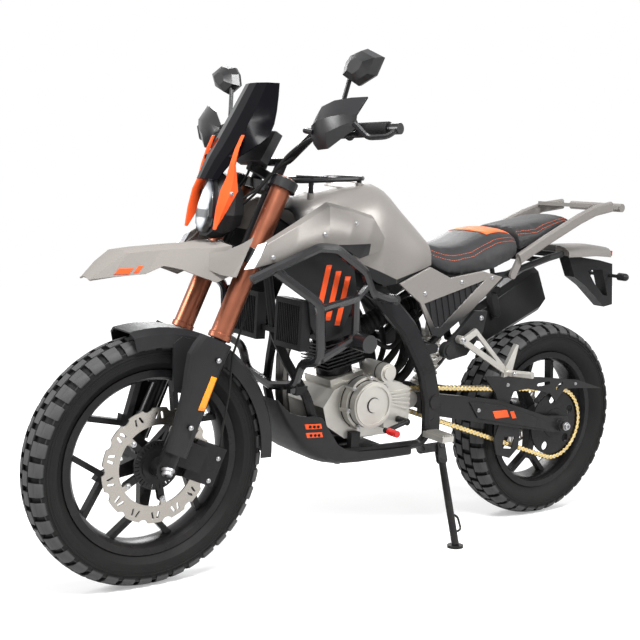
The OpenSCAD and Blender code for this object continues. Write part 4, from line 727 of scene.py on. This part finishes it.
class MOTO_OT_seats(bpy.types.Operator):
    """Make the padded seats with their seams, thread and accent panel"""

    bl_idname = "moto.seats"
    bl_label = "Make the seats"

    def execute(self, context):
        for node, seam in SEAMS.items():
            seat = self.padded(context.scene, node)
            self.sew(seat, node, np.array(seam, float))
            if node == "rider_seat":
                draped(
                    "seat_panel", SEAT_PANEL, node, (0, 0, -1), "frame", "seat_accent",
                    PANEL_THICK, seat)
        return {"FINISHED"}

    def padded(self, scene, node):
        """A copy of the seat's solid, drawn in a little, remeshed, swelled by pressure and smoothed."""
        seat = placed(node + "_pad", merged_mesh(node, node + "_pad"), "frame", "seat_cover")
        self.shift(seat.data, -SEAT_SHRINK * self.normals(seat.data))
        remesh = seat.modifiers.new("even", "REMESH")
        remesh.mode = "VOXEL"
        remesh.voxel_size = SEAT_VOXEL
        baked(seat)
        self.swell(scene, seat)
        soft = seat.modifiers.new("soft", "SMOOTH")
        soft.factor = 0.5
        soft.iterations = 3
        fine = seat.modifiers.new("fine", "SUBSURF")
        fine.levels = fine.render_levels = 1
        baked(seat)
        seat.data.materials.clear()
        seat.data.materials.append(FINISHES["seat_cover"])
        seat.data.shade_smooth()
        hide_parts(node)
        return seat

    def rows(self, items, field):
        """A vector field of a mesh's items as an array."""
        flat = np.empty(len(items) * 3)
        items.foreach_get(field, flat)
        return flat.reshape(-1, 3)

    def points(self, mesh):
        """A mesh's points as an array."""
        return self.rows(mesh.vertices, "co")

    def normals(self, mesh):
        """A mesh's point normals as an array."""
        return self.rows(mesh.vertex_normals, "vector")

    def shift(self, mesh, moves):
        """Moves a mesh's points."""
        mesh.vertices.foreach_set("co", (self.points(mesh) + moves).ravel())
        mesh.update()

    def swell(self, scene, seat):
        """Cloth under pressure for some frames, with each point's move capped."""
        start = self.points(seat.data)
        cloth = seat.modifiers.new("cloth", "CLOTH")
        cloth.settings.use_pressure = True
        cloth.settings.uniform_pressure_force = SEAT_PRESSURE
        cloth.settings.effector_weights.gravity = 0
        cloth.settings.tension_stiffness = SEAT_TENSION
        cloth.point_cache.frame_end = SEAT_FRAMES
        for number in range(1, SEAT_FRAMES + 1):
            scene.frame_set(number)
        baked(seat)
        scene.frame_set(1)
        moves = self.points(seat.data) - start
        far = np.linalg.norm(moves, axis=1, keepdims=True)
        self.shift(seat.data, moves * (np.minimum(far, SEAT_CAP) / np.maximum(far, 1e-9) - 1))

    def sew(self, seat, node, seam):
        """Two grooves, deep as exp(-(d / w)^2) of the distance d to the seam, and thread beside each."""
        points = self.points(seat.data)
        local = (points - ORIGIN) @ LEAN_TURN * 1000
        half = np.interp(-local[:, 0], -seam[:, 0], seam[:, 1])
        inside = (local[:, 0] < seam[0, 0] + SEAM_PAST) & (local[:, 0] > seam[-1, 0] - SEAM_PAST)
        inside &= self.normals(seat.data)[:, 2] > 0.1
        depth = SEAM_DEPTH * np.exp(-((np.abs(local[:, 1]) - half) / SEAM_WIDTH) ** 2) * inside
        self.shift(seat.data, depth[:, None] * np.array([0, 0, -1.0]))
        tree = BVHTree.FromObject(seat, bpy.context.evaluated_depsgraph_get())
        parts = []
        for side in BOTH:
            for beside in (-STITCH_ASIDE, STITCH_ASIDE):
                x = np.arange(seam[0, 0], seam[-1, 0], -STITCH_PITCH)
                y = side * (np.interp(-x, -seam[:, 0], seam[:, 1]) + beside)
                above = upright(np.stack([x, y, np.full(len(x), STITCH_START)], -1))
                hits = [tree.ray_cast(Vector(p), Vector(LEAN_TURN @ (0, 0, -1))) for p in above]
                places, facing = (np.array([hit[k] for hit in hits if hit[0]]) for k in (0, 1))
                parts += self.stitches(places, facing)
        new_piece(node + "_thread", parts, "frame", "seat_thread")

    def stitches(self, places, facing):
        """Threads: half axes a, b, b at each place, long side along the row, half sunk in the cover."""
        along = unit(np.gradient(places, axis=0))
        side = np.cross(facing, along)
        t = np.linspace(-1, 1, 5)
        swell = np.sqrt(np.maximum(1 - t**2, 0)) * STITCH_RADIUS
        angle = np.arange(6) * math.pi / 3
        ring = np.stack([np.outer(swell, np.cos(angle)), np.outer(swell, np.sin(angle))], -1)
        grids = (places[:, None, None] + along[:, None, None] * (t * STITCH_HALF)[:, None, None]
                 + side[:, None, None] * ring[..., :1] + facing[:, None, None] * ring[..., 1:])
        return [lattice(grid, wrap=True) for grid in grids]


SEAT_SHRINK = 0.004
SEAT_VOXEL = 0.006
SEAT_PRESSURE = 4.0
SEAT_TENSION = 25
SEAT_FRAMES = 20
SEAT_CAP = 0.005
SEAM_DEPTH = 0.0022
SEAM_WIDTH = 4.0
SEAM_PAST = 6
STITCH_START = 1200.0
STITCH_ASIDE = 4.5
STITCH_PITCH = 7.0
STITCH_HALF = 0.0026
STITCH_RADIUS = 0.0008
# Seam of each seat: x and half width in millimetres of the upright machine, from the front back
SEAMS = {
    "rider_seat": [(-118, 64), (-160, 80), (-210, 98), (-270, 112), (-340, 116), (-400, 112), (-452, 104)],
    "pillion_seat": [(-474, 92), (-540, 98), (-620, 90), (-690, 78), (-724, 66)],
}
PANEL_THICK = 0.0016
SEAT_PANEL = [(-348, -84, 940), (-348, 84, 940), (-457, 82, 950), (-457, -82, 950)]


class MOTO_OT_covers(bpy.types.Operator):
    """Make the creased covers beside the tank"""

    bl_idname = "moto.covers"
    bl_label = "Make the tank covers"

    def execute(self, context):
        sides = [self.cover(side) for side in BOTH]
        covers = new_piece("shrouds_skin", sides, "frame", "cover_paint", COVER_FOLD)
        wall = covers.modifiers.new("thick", "SOLIDIFY")
        wall.thickness = COVER_THICK
        wall.offset = -1.0
        rounded(covers, COVER_EDGE, COVER_FOLD)
        baked(covers)
        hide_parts("shrouds")
        return {"FINISHED"}

    def cover(self, side):
        """Straight edges between corners; across them low + w d + b n at each crease, then a lip each way."""
        corners = np.arange(len(COVER_BULGE))
        t = np.linspace(0, corners[-1], COVER_STEPS)
        low, high = (
            np.stack([np.interp(t, corners, np.array(edge, float)[:, k]) for k in range(3)], -1)
            for edge in (COVER_LOW, COVER_HIGH))
        bulge = np.interp(t, corners, COVER_BULGE)
        w, share = np.array(COVER_PROFILE).T
        rise = high - low
        out = unit(np.stack([np.zeros(COVER_STEPS), rise[:, 2], -rise[:, 1]], -1))
        face = low[:, None] + rise[:, None] * w[:, None] + out[:, None] * np.outer(bulge, share)[..., None]
        lip = low + np.array([0, -COVER_LIP, 4.0])
        top = high - np.array([0, COVER_LIP, 0])
        grid = np.concatenate([lip[:, None], face, top[:, None]], axis=1) * (1, side, 1)
        return lattice(upright(grid))


COVER_STEPS = 61
COVER_LIP = 14.0
COVER_THICK = 0.004
COVER_EDGE = 0.0012
COVER_FOLD = 15
# Creases across the cover: share of the way up and share of the bulge
COVER_PROFILE = [(0, 0), (0.12, 0.5), (0.3, 0.9), (0.46, 1.0), (0.66, 0.8), (0.9, 0.42)]
COVER_BULGE = [3, 9, 15, 15, 11, 2]
COVER_LOW = [
    (546, 202, 842), (450, 214, 868), (348, 214, 897), (270, 206, 890), (214, 190, 868), (128, 165, 886)]
COVER_HIGH = [
    (512, 202, 908), (424, 200, 958), (318, 180, 1012), (238, 172, 1000), (152, 166, 982), (108, 162, 926)]


class MOTO_OT_trim(bpy.types.Operator):
    """Lay reflectors, inserts and stripes on the solids"""

    bl_idname = "moto.trim"
    bl_label = "Lay the trim"

    def execute(self, context):
        for name, (node, y, slot, finish, corners) in TRIM.items():
            for side, mark in ((1, "left"), (-1, "right")):
                shape = [(x, side * y, z) for x, z in corners]
                draped(f"{name}_{mark}", shape, node, (0, -side, 0), BODY_OF[node], finish)
        return {"FINISHED"}


def slanted(x, z, width, height, lean):
    """Corners of a slanted bar, by its lower front corner, width, height and lean back."""
    return [(x, z), (x - width, z), (x - width - lean, z + height), (x - lean, z + height)]


ORANGE = ("orange_plastic", "orange_plastic")
# Sheets laid on both sides: node, rough y of its face, slot, finish and corners as x and z
TRIM = {
    "reflector": (
        "fork_guards", 136, "lamp_lens", "amber_lens", [(624, 476), (646, 481), (612, 565), (593, 559)]),
    "skid_insert_high": ("skid_plate", 120, *ORANGE, slanted(302, 398, 44, 14, -4)),
    "skid_insert_low": ("skid_plate", 120, *ORANGE, slanted(298, 374, 44, 14, -4)),
    "panel_bar_front": ("radiator_panels", 180, *ORANGE, slanted(340, 720, 17, 130, 26)),
    "panel_bar_middle": ("radiator_panels", 180, *ORANGE, slanted(308, 704, 17, 130, 26)),
    "panel_bar_rear": ("radiator_panels", 180, *ORANGE, slanted(276, 690, 17, 130, 26)),
    "beak_bar_front": ("beak", 56, *ORANGE, slanted(852, 812, 34, 15, 14)),
    "beak_bar_rear": ("beak", 56, *ORANGE, slanted(806, 816, 12, 17, 14)),
    "arm_bar_front": ("swingarm", 131, *ORANGE, slanted(-404, 372, 62, 24, -14)),
    "arm_bar_rear": ("swingarm", 131, *ORANGE, slanted(-480, 366, 18, 24, -14)),
}


class MOTO_OT_tyres(bpy.types.Operator):
    """Mould the side blocks of the tyres"""

    bl_idname = "moto.tyres"
    bl_label = "Mould the tyre blocks"

    def execute(self, context):
        for place, axle, count, finish in TYRES:
            blocks = self.blocks(axle, *np.array(TYRE_SIZES[place]) * 1000, count)
            new_piece(place + "_side_blocks", blocks, place + "_wheel", finish)
        return {"FINISHED"}

    def blocks(self, axle, radius, half, count):
        """Pads in rings, at drop d and turn a: (r - d + h n) cos a, half s(d) + h m, (r - d + h n) sin a."""
        turn = np.arange(16) * math.pi / 8
        square = np.stack([np.cos(turn), np.sin(turn)], -1)
        square /= np.abs(square).max(axis=1, keepdims=True)
        shares, lift = np.array(BLOCK_RINGS, float).T[..., None]
        lift = lift * BLOCK_LIFT
        drop = np.mean(BLOCK_DROP) + shares * square[:, 1] * np.ptp(BLOCK_DROP) / 2
        wall = np.interp(drop, *np.array(SIDE_WALL).T) * half + lift * BLOCK_FACING[1]
        reach = radius - drop + lift * BLOCK_FACING[0]
        parts = []
        for side, shift in ((1, 0.0), (-1, 0.5)):
            start = (np.arange(count) + shift + BLOCK_SHARE / 2) * 2 * math.pi / count
            angle = start[:, None, None] + shares * square[:, 0] * BLOCK_SHARE * math.pi / count
            across = np.broadcast_to(side * wall, angle.shape)
            grid = np.stack([reach * np.cos(angle), across, reach * np.sin(angle)], -1)
            parts += [lattice(block / 1000 @ LEAN_TURN.T + axle, wrap=True) for block in grid]
            for ridge in RIDGES:
                out = half * np.interp(ridge, *np.array(SIDE_WALL).T)
                line = hoop(radius - ridge, side * out, RIDGE_STEPS)
                parts.append(tube(line / 1000 @ LEAN_TURN.T + axle, RIDGE_R, RIDGE_SIDES))
        return parts


# Tyre, axle, count of its blocks and finish
TYRES = (("front", FRONT_AXLE, 40, "front_tyre"), ("rear", REAR_AXLE, 38, "tyre_rubber"))
# Rings of a block from its middle out and back under it: share of the way out and of the lift
BLOCK_RINGS = [(0, 1), (0.86, 1), (1, 0.7), (1, -0.8), (0, -0.8)]
BLOCK_LIFT = 3.0
RIDGE_R = 0.0016
RIDGE_STEPS = 97
RIDGE_SIDES = 6
RIDGES = (40.0, 47.0, 56.0)
BLOCK_SHARE = 0.7
BLOCK_DROP = (13.0, 34.0)
BLOCK_FACING = (0.35, 0.94)
# Side wall of a tyre: drop from the tread in millimetres and share of the half width
SIDE_WALL = [(8, 0.66), (15, 0.84), (24, 0.96), (40, 1), (58, 0.93)]


class MOTO_OT_hoses(bpy.types.Operator):
    """Lead the inlet duct, hoses and loom through the frame"""

    bl_idname = "moto.hoses"
    bl_label = "Lead the hoses"

    def execute(self, context):
        t = np.linspace(0, 1, DUCT_STEPS)
        swell = DUCT_R + DUCT_RIB * np.sin(t * DUCT_RIBS * 2 * math.pi)
        duct = tube(smooth_path(upright(DUCT), DUCT_STEPS), swell / 1000, DUCT_SIDES)
        looms = [tube(smooth_path(upright(route), LOOM_STEPS), radius / 1000) for radius, route in LOOMS]
        new_piece("frame_hoses", [duct, *looms], "frame", "hose_rubber")
        # Thin dark rings round the engine's covers: joint lines, and painted shadow where each cover stands out
        # from the case
        seams = [
            tube(upright(hoop(radius, y, SEAM_SHADOW_STEPS) + (x, 0, z)), SEAM_SHADOW_R)
            for x, z, radius, y in ENGINE_SEAMS_AND_SHADOWS]
        new_piece("engine_seams_and_shadows", seams, "frame", "hose_rubber")
        return {"FINISHED"}


SEAM_SHADOW_R = 0.0017
SEAM_SHADOW_STEPS = 73
DUCT_R = 29
DUCT_RIB = 2.5
DUCT_RIBS = 13
DUCT_STEPS = 90
DUCT_SIDES = 28
LOOM_STEPS = 40
# Middle, radius and place across the machine of each dark ring on the engine's covers: a joint line, drawn dark
# also as painted shadow round each cover's rim
ENGINE_SEAMS_AND_SHADOWS = [(100, 456, 76.4, 100), (100, 456, 66.4, 125), (100, 456, 20.4, 150.6), (50, 543, 27.4, 118)]
DUCT = [(66, 0, 640), (20, 0, 662), (-40, 0, 690), (-100, 0, 706), (-150, 0, 712)]
# Radius and route of each hose and loom inside the frame
LOOMS = [
    (8, [(120, 70, 800), (40, 74, 742), (-20, 76, 690), (-66, 74, 630), (-80, 62, 560), (-30, 46, 500),
         (0, 40, 450)]),
    (6, [(104, 58, 806), (20, 62, 752), (-48, 64, 706), (-98, 60, 650), (-102, 48, 570), (-50, 34, 500),
         (-10, 30, 450)]),
    (9, [(100, -64, 800), (10, -68, 740), (-60, -70, 680), (-96, -60, 590), (-50, -42, 500), (0, -40, 450)]),
    (7, [(30, 40, 620), (-20, 60, 600), (-60, 66, 640), (-110, 70, 690), (-150, 60, 720)]),
    (14, [(-118, 26, 700), (-136, 40, 650), (-138, 44, 590), (-112, 36, 520), (-40, 26, 460)]),
    (12, [(-84, 10, 690), (-104, 16, 630), (-110, 16, 570), (-84, 10, 510), (-20, 6, 460)]),
    (11, [(-60, 30, 690), (-72, 34, 640), (-66, 34, 590), (-30, 26, 540), (10, 20, 480)]),
]


class MOTO_OT_fasteners(bpy.types.Operator):
    """Set bolts on the pieces that they hold, and pins in the chain"""

    bl_idname = "moto.fasteners"
    bl_label = "Set the fasteners"

    def execute(self, context):
        for node, places in BOLTS.items():
            tree = BVHTree.FromObject(bpy.data.objects[node + "_skin"], context.evaluated_depsgraph_get())
            parts = []
            for x, z, radius, sides in places:
                for side in sides:
                    start = upright((x, side * BOLT_START, z))
                    place, facing, _, _ = tree.ray_cast(Vector(start), Vector(LEAN_TURN @ (0, -side, 0)))
                    if place is None:
                        raise RuntimeError(f"no seat for a bolt on {node} at {x}, {z}")
                    head = np.array(BOLT_PROFILE) * radius / 1000
                    parts.append(revolved(head, BOLT_SIDES, np.array(place), facing))
            finish = BOLT_FINISH.get(node, "bright_bolt")
            new_piece(node + "_bolts", parts, BODY_OF[node], finish)
        spots = self.pin_places()
        new_piece("chain_links", self.links(spots), "frame", "chain_gold")
        new_piece("chain_pins", self.pins(spots), "frame", "bright_bolt")
        return {"FINISHED"}

    def pin_places(self):
        """Places of the pins in x and z: points on two circles and their outer tangents, a pitch apart."""
        middle = np.array([wheel[:2] for wheel in DRIVE], float)
        radii = np.array([wheel[2] for wheel in DRIVE], float)
        run = middle[1] - middle[0]
        slope = math.atan2(run[1], run[0])
        opening = math.asin((radii[0] - radii[1]) / np.hypot(*run))
        top, low = slope + math.pi / 2 - opening, slope - math.pi / 2 + opening
        steps = [(0, 0, top, low + 2 * math.pi), (0, 1, low, low), (1, 1, low, top), (1, 0, top, top)]
        places = []
        for (a, b, start, end), count in zip(steps, PIN_COUNTS):
            t = (np.arange(count) / count)[:, None]
            angle = start + (end - start) * t
            reach = radii[a] + (radii[b] - radii[a]) * t
            hub = middle[a] + (middle[b] - middle[a]) * t
            places.append(hub + reach * np.c_[np.cos(angle), np.sin(angle)])
        return np.concatenate(places)

    def pins(self, flat):
        """A round head on each pin, at both sides of the chain."""
        parts = []
        for side in BOTH:
            spots = upright(np.c_[flat[:, 0], np.full(len(flat), CHAIN_Y + side * LINK_OUT[1]), flat[:, 1]])
            parts += [revolved(np.array(PIN_PROFILE) / 1000, 8, spot, AXLE_LINE * side) for spot in spots]
        return parts

    def links(self, flat):
        """Plates pin to pin: at x a lobe sqrt(r^2 - (|x| - p / 2)^2) or the waist across, in two layers."""
        ahead = np.roll(flat, -1, axis=0) - flat
        middle = flat + ahead / 2
        angle = np.arange(20) * 2 * math.pi / 20
        along = unit(ahead)
        across = np.stack([-along[:, 1], along[:, 0]], -1)
        half = np.linalg.norm(ahead, axis=1)[:, None] / 2
        length = (half + LINK_R) * np.cos(angle)
        past = np.abs(length) - half
        lobe = np.sqrt(np.maximum(LINK_R**2 - past**2, 0))
        width = np.maximum(lobe, (past < 0) * LINK_WAIST * LINK_R) * np.sign(np.round(np.sin(angle), 6))
        rim = along[:, None] * length[..., None] + across[:, None] * width[..., None]
        share, sink = np.array(LINK_RINGS, float).T
        rings = middle[:, None, None] + rim[:, None] * share[:, None, None]
        parts = []
        for side in BOTH:
            depth = np.array(LINK_OUT)[np.arange(len(flat)) % 2]
            level = depth[:, None] - sink
            y = np.broadcast_to((CHAIN_Y + side * level)[..., None], rings.shape[:3])
            grid = upright(np.stack([rings[..., 0], y, rings[..., 1]], -1))
            parts += [lattice(link, wrap=True) for link in grid]
        return parts


BOLT_START = 420
# Radius and height of a bolt head with a socket, for a head of radius 1
BOLT_PROFILE = [
    (0, -0.3), (1.25, -0.3), (1.25, 0.12), (1.0, 0.16), (1.0, 0.72), (0.86, 0.86), (0.5, 0.86),
    (0.46, 0.4), (0, 0.4)]
BOLT_SIDES = 16
PIN_PROFILE = [(0, -0.4), (2.6, -0.4), (2.6, 0.7), (1.9, 1.1), (0, 1.1)]
CHAIN_Y = 94
# Outer faces of the inner and outer link plates, from the chain's middle
LINK_OUT = (8.5, 9.6)
# Rings of a link plate: share of the way out, and depth under its face
LINK_RINGS = [(0, 0), (0.86, 0), (1, 0.4), (1, 2.4)]
LINK_R = 7.2
LINK_WAIST = 0.5
# Pins round the sprocket, along the lower run, round the pinion and along the upper run
PIN_COUNTS = (24, 41, 6, 41)
PINION = (-74, 451)
BOTH = (1, -1)
FRONT_X, FRONT_Z = ((FRONT_AXLE - ORIGIN) @ LEAN_TURN * 1000)[[0, 2]]
REAR_X, REAR_Z = ((REAR_AXLE - ORIGIN) @ LEAN_TURN * 1000)[[0, 2]]
DRIVE = [(REAR_X, REAR_Z, 113.8), (*PINION, 32.5)]


def bolt_ring(x, z, reach, count, turn, radius, sides):
    """Bolts evenly round a point."""
    angles = np.radians(turn + np.arange(count) * 360 / count)
    return [(x + reach * math.cos(a), z + reach * math.sin(a), radius, sides) for a in angles]


SKID_HOLES = [(292, 405), (281, 405), (270, 405), (288, 381), (277, 381), (266, 381)]
# Finish of bolts that aren't bright
BOLT_FINISH = {"skid_plate": "black_cast"}
# Bolts of each node: x, z, head radius and sides
BOLTS = {
    "shrouds": [(352, 930, 5, BOTH), (236, 960, 5, BOTH), (500, 870, 5, BOTH)],
    "side_panels": [(-60, 768, 5, BOTH), (-200, 800, 5, BOTH), (-322, 812, 5, BOTH)],
    "side_brackets": [(-290, 692, 6, BOTH), (-236, 612, 6, BOTH)],
    "swingarm": [(REAR_X, REAR_Z, 11, BOTH), (-330, 404, 5, BOTH)],
    "fork_legs": [
        (FRONT_X, FRONT_Z, 14, BOTH), (FRONT_X - 47, FRONT_Z + 110.5, 5, BOTH),
        (FRONT_X - 117, FRONT_Z + 276, 5, BOTH)],
    "front_caliper": [
        (FRONT_X - 140, FRONT_Z - 52, 5, (1,)), (FRONT_X - 166, FRONT_Z + 4, 5, (1,))],
    "front_disc": bolt_ring(FRONT_X, FRONT_Z, 91, 5, -30, 6, (1,)),
    "engine_cases": (
        bolt_ring(100, 456, 73, 7, -12, 4.5, (1,))
        + bolt_ring(60, 446, 74, 8, 10, 5, (-1,))),
    "chain_guard": [(-470, 470, 5, (1,)), (-790, 454, 4, (1,))],
    "foot_pegs": [(-200, 632, 8, BOTH), (-394, 526, 6, BOTH)],
    "light_blades": [(551, 1018, 5, BOTH)],
    "skid_plate": [(x, z, 4, BOTH) for x, z in SKID_HOLES],
}


class MOTO_OT_controls(bpy.types.Operator):
    """Make the grips, cables, mirror glass, dial glass and lever tip"""

    bl_idname = "moto.controls"
    bl_label = "Make the controls"

    def execute(self, context):
        new_piece("grips", [self.grip(side) for side in BOTH], "steering", "grip_rubber")
        routes = [np.array(route) * (1, side, 1) for route in CABLES for side in BOTH]
        cables = [tube(smooth_path(upright(route), LOOM_STEPS), CABLE_R) for route in routes]
        new_piece("control_cables", cables, "steering", "hose_rubber")
        glasses = [self.glass(side) for side in BOTH]
        new_piece("mirror_glass", glasses, "steering", "mirror_glass")
        new_piece("dial_glass", [self.dial()], "steering", "smoked_screen")
        new_piece("lever_tip", [self.tip()], "frame", "red_lens")
        return {"FINISHED"}

    def grip(self, side):
        """A sleeve along the bar: radius r + h |sin| along it for ribs, with a flange at the inner end."""
        ends = upright(np.array(GRIP) * (1, side, 1))
        t = np.linspace(0, 1, 90)
        ribs = GRIP_R + GRIP_RIB * np.abs(np.sin(t * GRIP_RIBS * math.pi))
        ribs += GRIP_FLANGE * np.exp(-((t - FLANGE_MIDDLE) / FLANGE_WIDTH) ** 2)
        return tube(ends[0] + (ends[1] - ends[0]) * t[:, None], ribs / 1000, 24)

    def glass(self, side):
        """The mirror's outline drawn in to its middle in rings, standing at the back of its shell."""
        outline = np.array(MIRROR, float)
        shares, depth = np.array(GLASS_RINGS, float).T
        grid = np.empty((len(shares), len(outline), 3))
        grid[..., 0] = MIRROR_MIDDLE[0] + depth[:, None]
        grid[..., 1] = side * (MIRROR_MIDDLE[1] + shares[:, None] * outline[:, 0])
        grid[..., 2] = MIRROR_MIDDLE[2] + shares[:, None] * outline[:, 1]
        return lattice(upright(grid), wrap=True)

    def dial(self):
        """A thin plate on the back of the dash: |y / a|^6 + |z / b|^6 = 1, drawn in to its middle."""
        angle = np.arange(48) * 2 * math.pi / 48
        outline = np.stack([np.cos(angle), np.sin(angle)], -1)
        outline = np.sign(outline) * np.abs(outline) ** (1 / 3)
        shares, depth = np.array(DIAL_RINGS, float).T
        grid = np.empty((len(shares), len(outline), 3))
        grid[..., 0] = depth[:, None]
        grid[..., 1:] = shares[:, None, None] * outline * DIAL_HALF
        cos, sin = math.cos(math.radians(DASH_TILT)), math.sin(math.radians(DASH_TILT))
        turn = np.array([[cos, 0, sin], [0, 1, 0], [-sin, 0, cos]])
        return lattice(upright(grid @ turn.T + DASH_MIDDLE), wrap=True)

    def tip(self):
        """A ribbed sleeve on the end of the gear lever."""
        t = np.linspace(0, 1, 40)
        path = upright(np.array(TIP_START) + np.outer(t, (0, TIP_LENGTH, 0)))
        return tube(path, (TIP_R + TIP_RIB * np.abs(np.sin(t * TIP_RIBS * math.pi))) / 1000, 20)


def from_front(points):
    """Points given from the front axle, in millimetres of the upright machine."""
    return np.asarray(points, float) + (FRONT_X, 0, FRONT_Z)


BAR_IN, BAR_OUT = np.array([-336.0, 190.0, 856.0]), np.array([-388.0, 418.0, 866.0])
GRIP = from_front([BAR_IN + (BAR_OUT - BAR_IN) * t for t in (0.455, 0.99)])
GRIP_R = 17.3
GRIP_RIB = 0.9
GRIP_RIBS = 20
GRIP_FLANGE = 6.5
# Share of the grip's length at the flange's middle, and its width
FLANGE_MIDDLE, FLANGE_WIDTH = 0.02, 0.014
# Start, length and radii of the ribbed sleeve on the gear lever
TIP_START = (60, 176, 384)
TIP_LENGTH = 39
TIP_R = 9.4
TIP_RIB = 0.7
TIP_RIBS = 8
# Rings of the mirror glass and of the dial: share of the way out, and place along x
GLASS_RINGS = [(0, -8.9), (0.5, -8.9), (0.9, -8.9), (0.9, -8.0), (0, -8.0)]
DIAL_RINGS = [(0, -16.4), (0.6, -16.4), (0.96, -16.4), (1, -15.6), (1, -13.5), (0, -13.5)]
DIAL_HALF = (58, 38)
CABLE_R = 0.0036
MIRROR = [(-72, -20), (-62, 12), (-40, 32), (10, 43), (72, 20), (46, -22), (-16, -44)]
MIRROR_MIDDLE = from_front((-372, 322, 1012))
DASH_MIDDLE = from_front((-286, 0, 812))
DASH_TILT = -28
CABLES = [
    from_front([
        (-318, 232, 842), (-304, 196, 832), (-286, 146, 796), (-266, 100, 742), (-244, 62, 692),
        (-228, 30, 662)]),
    from_front([
        (-330, 226, 852), (-334, 180, 838), (-330, 120, 800), (-300, 62, 752), (-262, 44, 706),
        (-230, 24, 676)]),
]


# Studio

LAMPS = {
    "key": {"place": (1.2, 1.7, 3.2), "size": 1.2, "share": 1.5},
    "fill": {"place": (-2.2, 3.0, 2.2), "size": 1.2, "share": 0.7},
    "rim": {"place": (-1.5, -3.0, 2.8), "size": 1.6, "share": 0.7},
    "front": {"place": (3.4, -1.2, 2.0), "size": 1.2, "share": 0.6},
}
FLOOR_REACH = 60.0


class MOTO_OT_studio(bpy.types.Operator):
    """Lay the floor, hang the lamps and set the camera"""

    bl_idname = "moto.studio"
    bl_label = "Set the studio"

    def execute(self, context):
        setup = context.scene.moto_studio
        scene = context.scene
        scene.view_settings.view_transform = "Standard"
        self.lay_floor(scene, setup)
        self.light_world(scene, setup)
        for name, spec in LAMPS.items():
            self.hang_lamp(scene, name, spec, setup)
        camera = bpy.data.cameras.new("view")
        camera.lens = setup.lens
        eye = bpy.data.objects.new("view", camera)
        eye.location = setup.eye
        eye.rotation_euler = (Vector(setup.aim) - Vector(setup.eye)).to_track_quat("-Z", "Y").to_euler()
        scene.collection.objects.link(eye)
        scene.camera = eye
        return {"FINISHED"}

    def lay_floor(self, scene, setup):
        """A flat square at ground height in a pale matt finish, white to the camera, with shadows."""
        steps = np.array([-1.0, 1.0]) * FLOOR_REACH
        corners = [(x, y, 0.0) for y in steps for x in steps]
        mesh = bpy.data.meshes.new("floor")
        mesh.from_pydata(corners, [], [(0, 1, 3, 2)])
        floor = bpy.data.objects.new("floor", mesh)
        made = Finish(
            "floor", tuple(setup.floor), Roughness=0.9, Specular_IOR_Level=0.0, Emission_Color=(1, 1, 1, 1))
        away = made.node("VectorMath", {"operation": "LENGTH"}, i0=made.place).outputs["Value"]
        whiter = made.node("MapRange", Value=away, From_Min=0.9, From_Max=4.0, To_Min=0.35, To_Max=1.0)
        seen = made.tree.nodes.new("ShaderNodeLightPath").outputs["Is Camera Ray"]
        made.feed("Emission Strength", maths(made.tree, "MULTIPLY", whiter.outputs[0], seen))
        mesh.materials.append(made.material)
        scene.collection.objects.link(floor)

    def light_world(self, scene, setup):
        """White seen by the camera, by gloss and through glass; a softer even light on everything else."""
        world = bpy.data.worlds.new("studio")
        world.use_nodes = True
        tree = world.node_tree
        scene.world = world
        path = tree.nodes.new("ShaderNodeLightPath").outputs
        seen = maths(tree, "MAXIMUM", path["Is Camera Ray"], path["Is Glossy Ray"])
        seen = maths(tree, "MAXIMUM", seen, path["Is Transmission Ray"])
        strength = add_node(tree, "MapRange", Value=seen, To_Min=setup.sky, To_Max=1.0)
        background = tree.nodes["Background"]
        background.inputs["Color"].default_value = (1, 1, 1, 1)
        tree.links.new(strength.outputs[0], background.inputs["Strength"])

    def hang_lamp(self, scene, name, spec, setup):
        """A square soft lamp aimed at the machine."""
        light = bpy.data.lights.new(name, "AREA")
        light.size = spec["size"]
        light.energy = setup.lamp_power * spec["share"]
        lamp = bpy.data.objects.new(name, light)
        lamp.location = spec["place"]
        lamp.rotation_euler = (Vector(setup.aim) - Vector(spec["place"])).to_track_quat("-Z", "Y").to_euler()
        scene.collection.objects.link(lamp)


class MOTO_PT_panel(bpy.types.Panel):
    """Motorcycle looks"""

    bl_label = "Motorcycle"
    bl_idname = "MOTO_PT_panel"
    bl_space_type = "VIEW_3D"
    bl_region_type = "UI"
    bl_category = "Motorcycle"

    def draw(self, context):
        for operator in OPERATORS:
            self.layout.operator(operator.bl_idname)
        for slot in COLOURS:
            self.layout.prop(context.scene.moto_colours, slot)
        for name in StudioSettings.__annotations__:
            self.layout.prop(context.scene.moto_studio, name)


OPERATORS = (
    MOTO_OT_solids, MOTO_OT_covers, MOTO_OT_tyres, MOTO_OT_seats, MOTO_OT_trim, MOTO_OT_hoses,
    MOTO_OT_fasteners, MOTO_OT_controls, MOTO_OT_studio)
GROUPS = {"moto_colours": FinishColours, "moto_studio": StudioSettings}


def register():
    """Registers the settings, the operators and the panel."""
    for name, group in GROUPS.items():
        bpy.utils.register_class(group)
        setattr(bpy.types.Scene, name, bpy.props.PointerProperty(type=group))
    for thing in (*OPERATORS, MOTO_PT_panel):
        bpy.utils.register_class(thing)


def unregister():
    """Takes them out again."""
    for thing in (MOTO_PT_panel, *reversed(OPERATORS)):
        bpy.utils.unregister_class(thing)
    for name, group in GROUPS.items():
        delattr(bpy.types.Scene, name)
        bpy.utils.unregister_class(group)


def main():
    register()
    for operator in OPERATORS:
        group, name = operator.bl_idname.split(".")
        getattr(getattr(bpy.ops, group), name)()


if __name__ == "__main__":
    main()
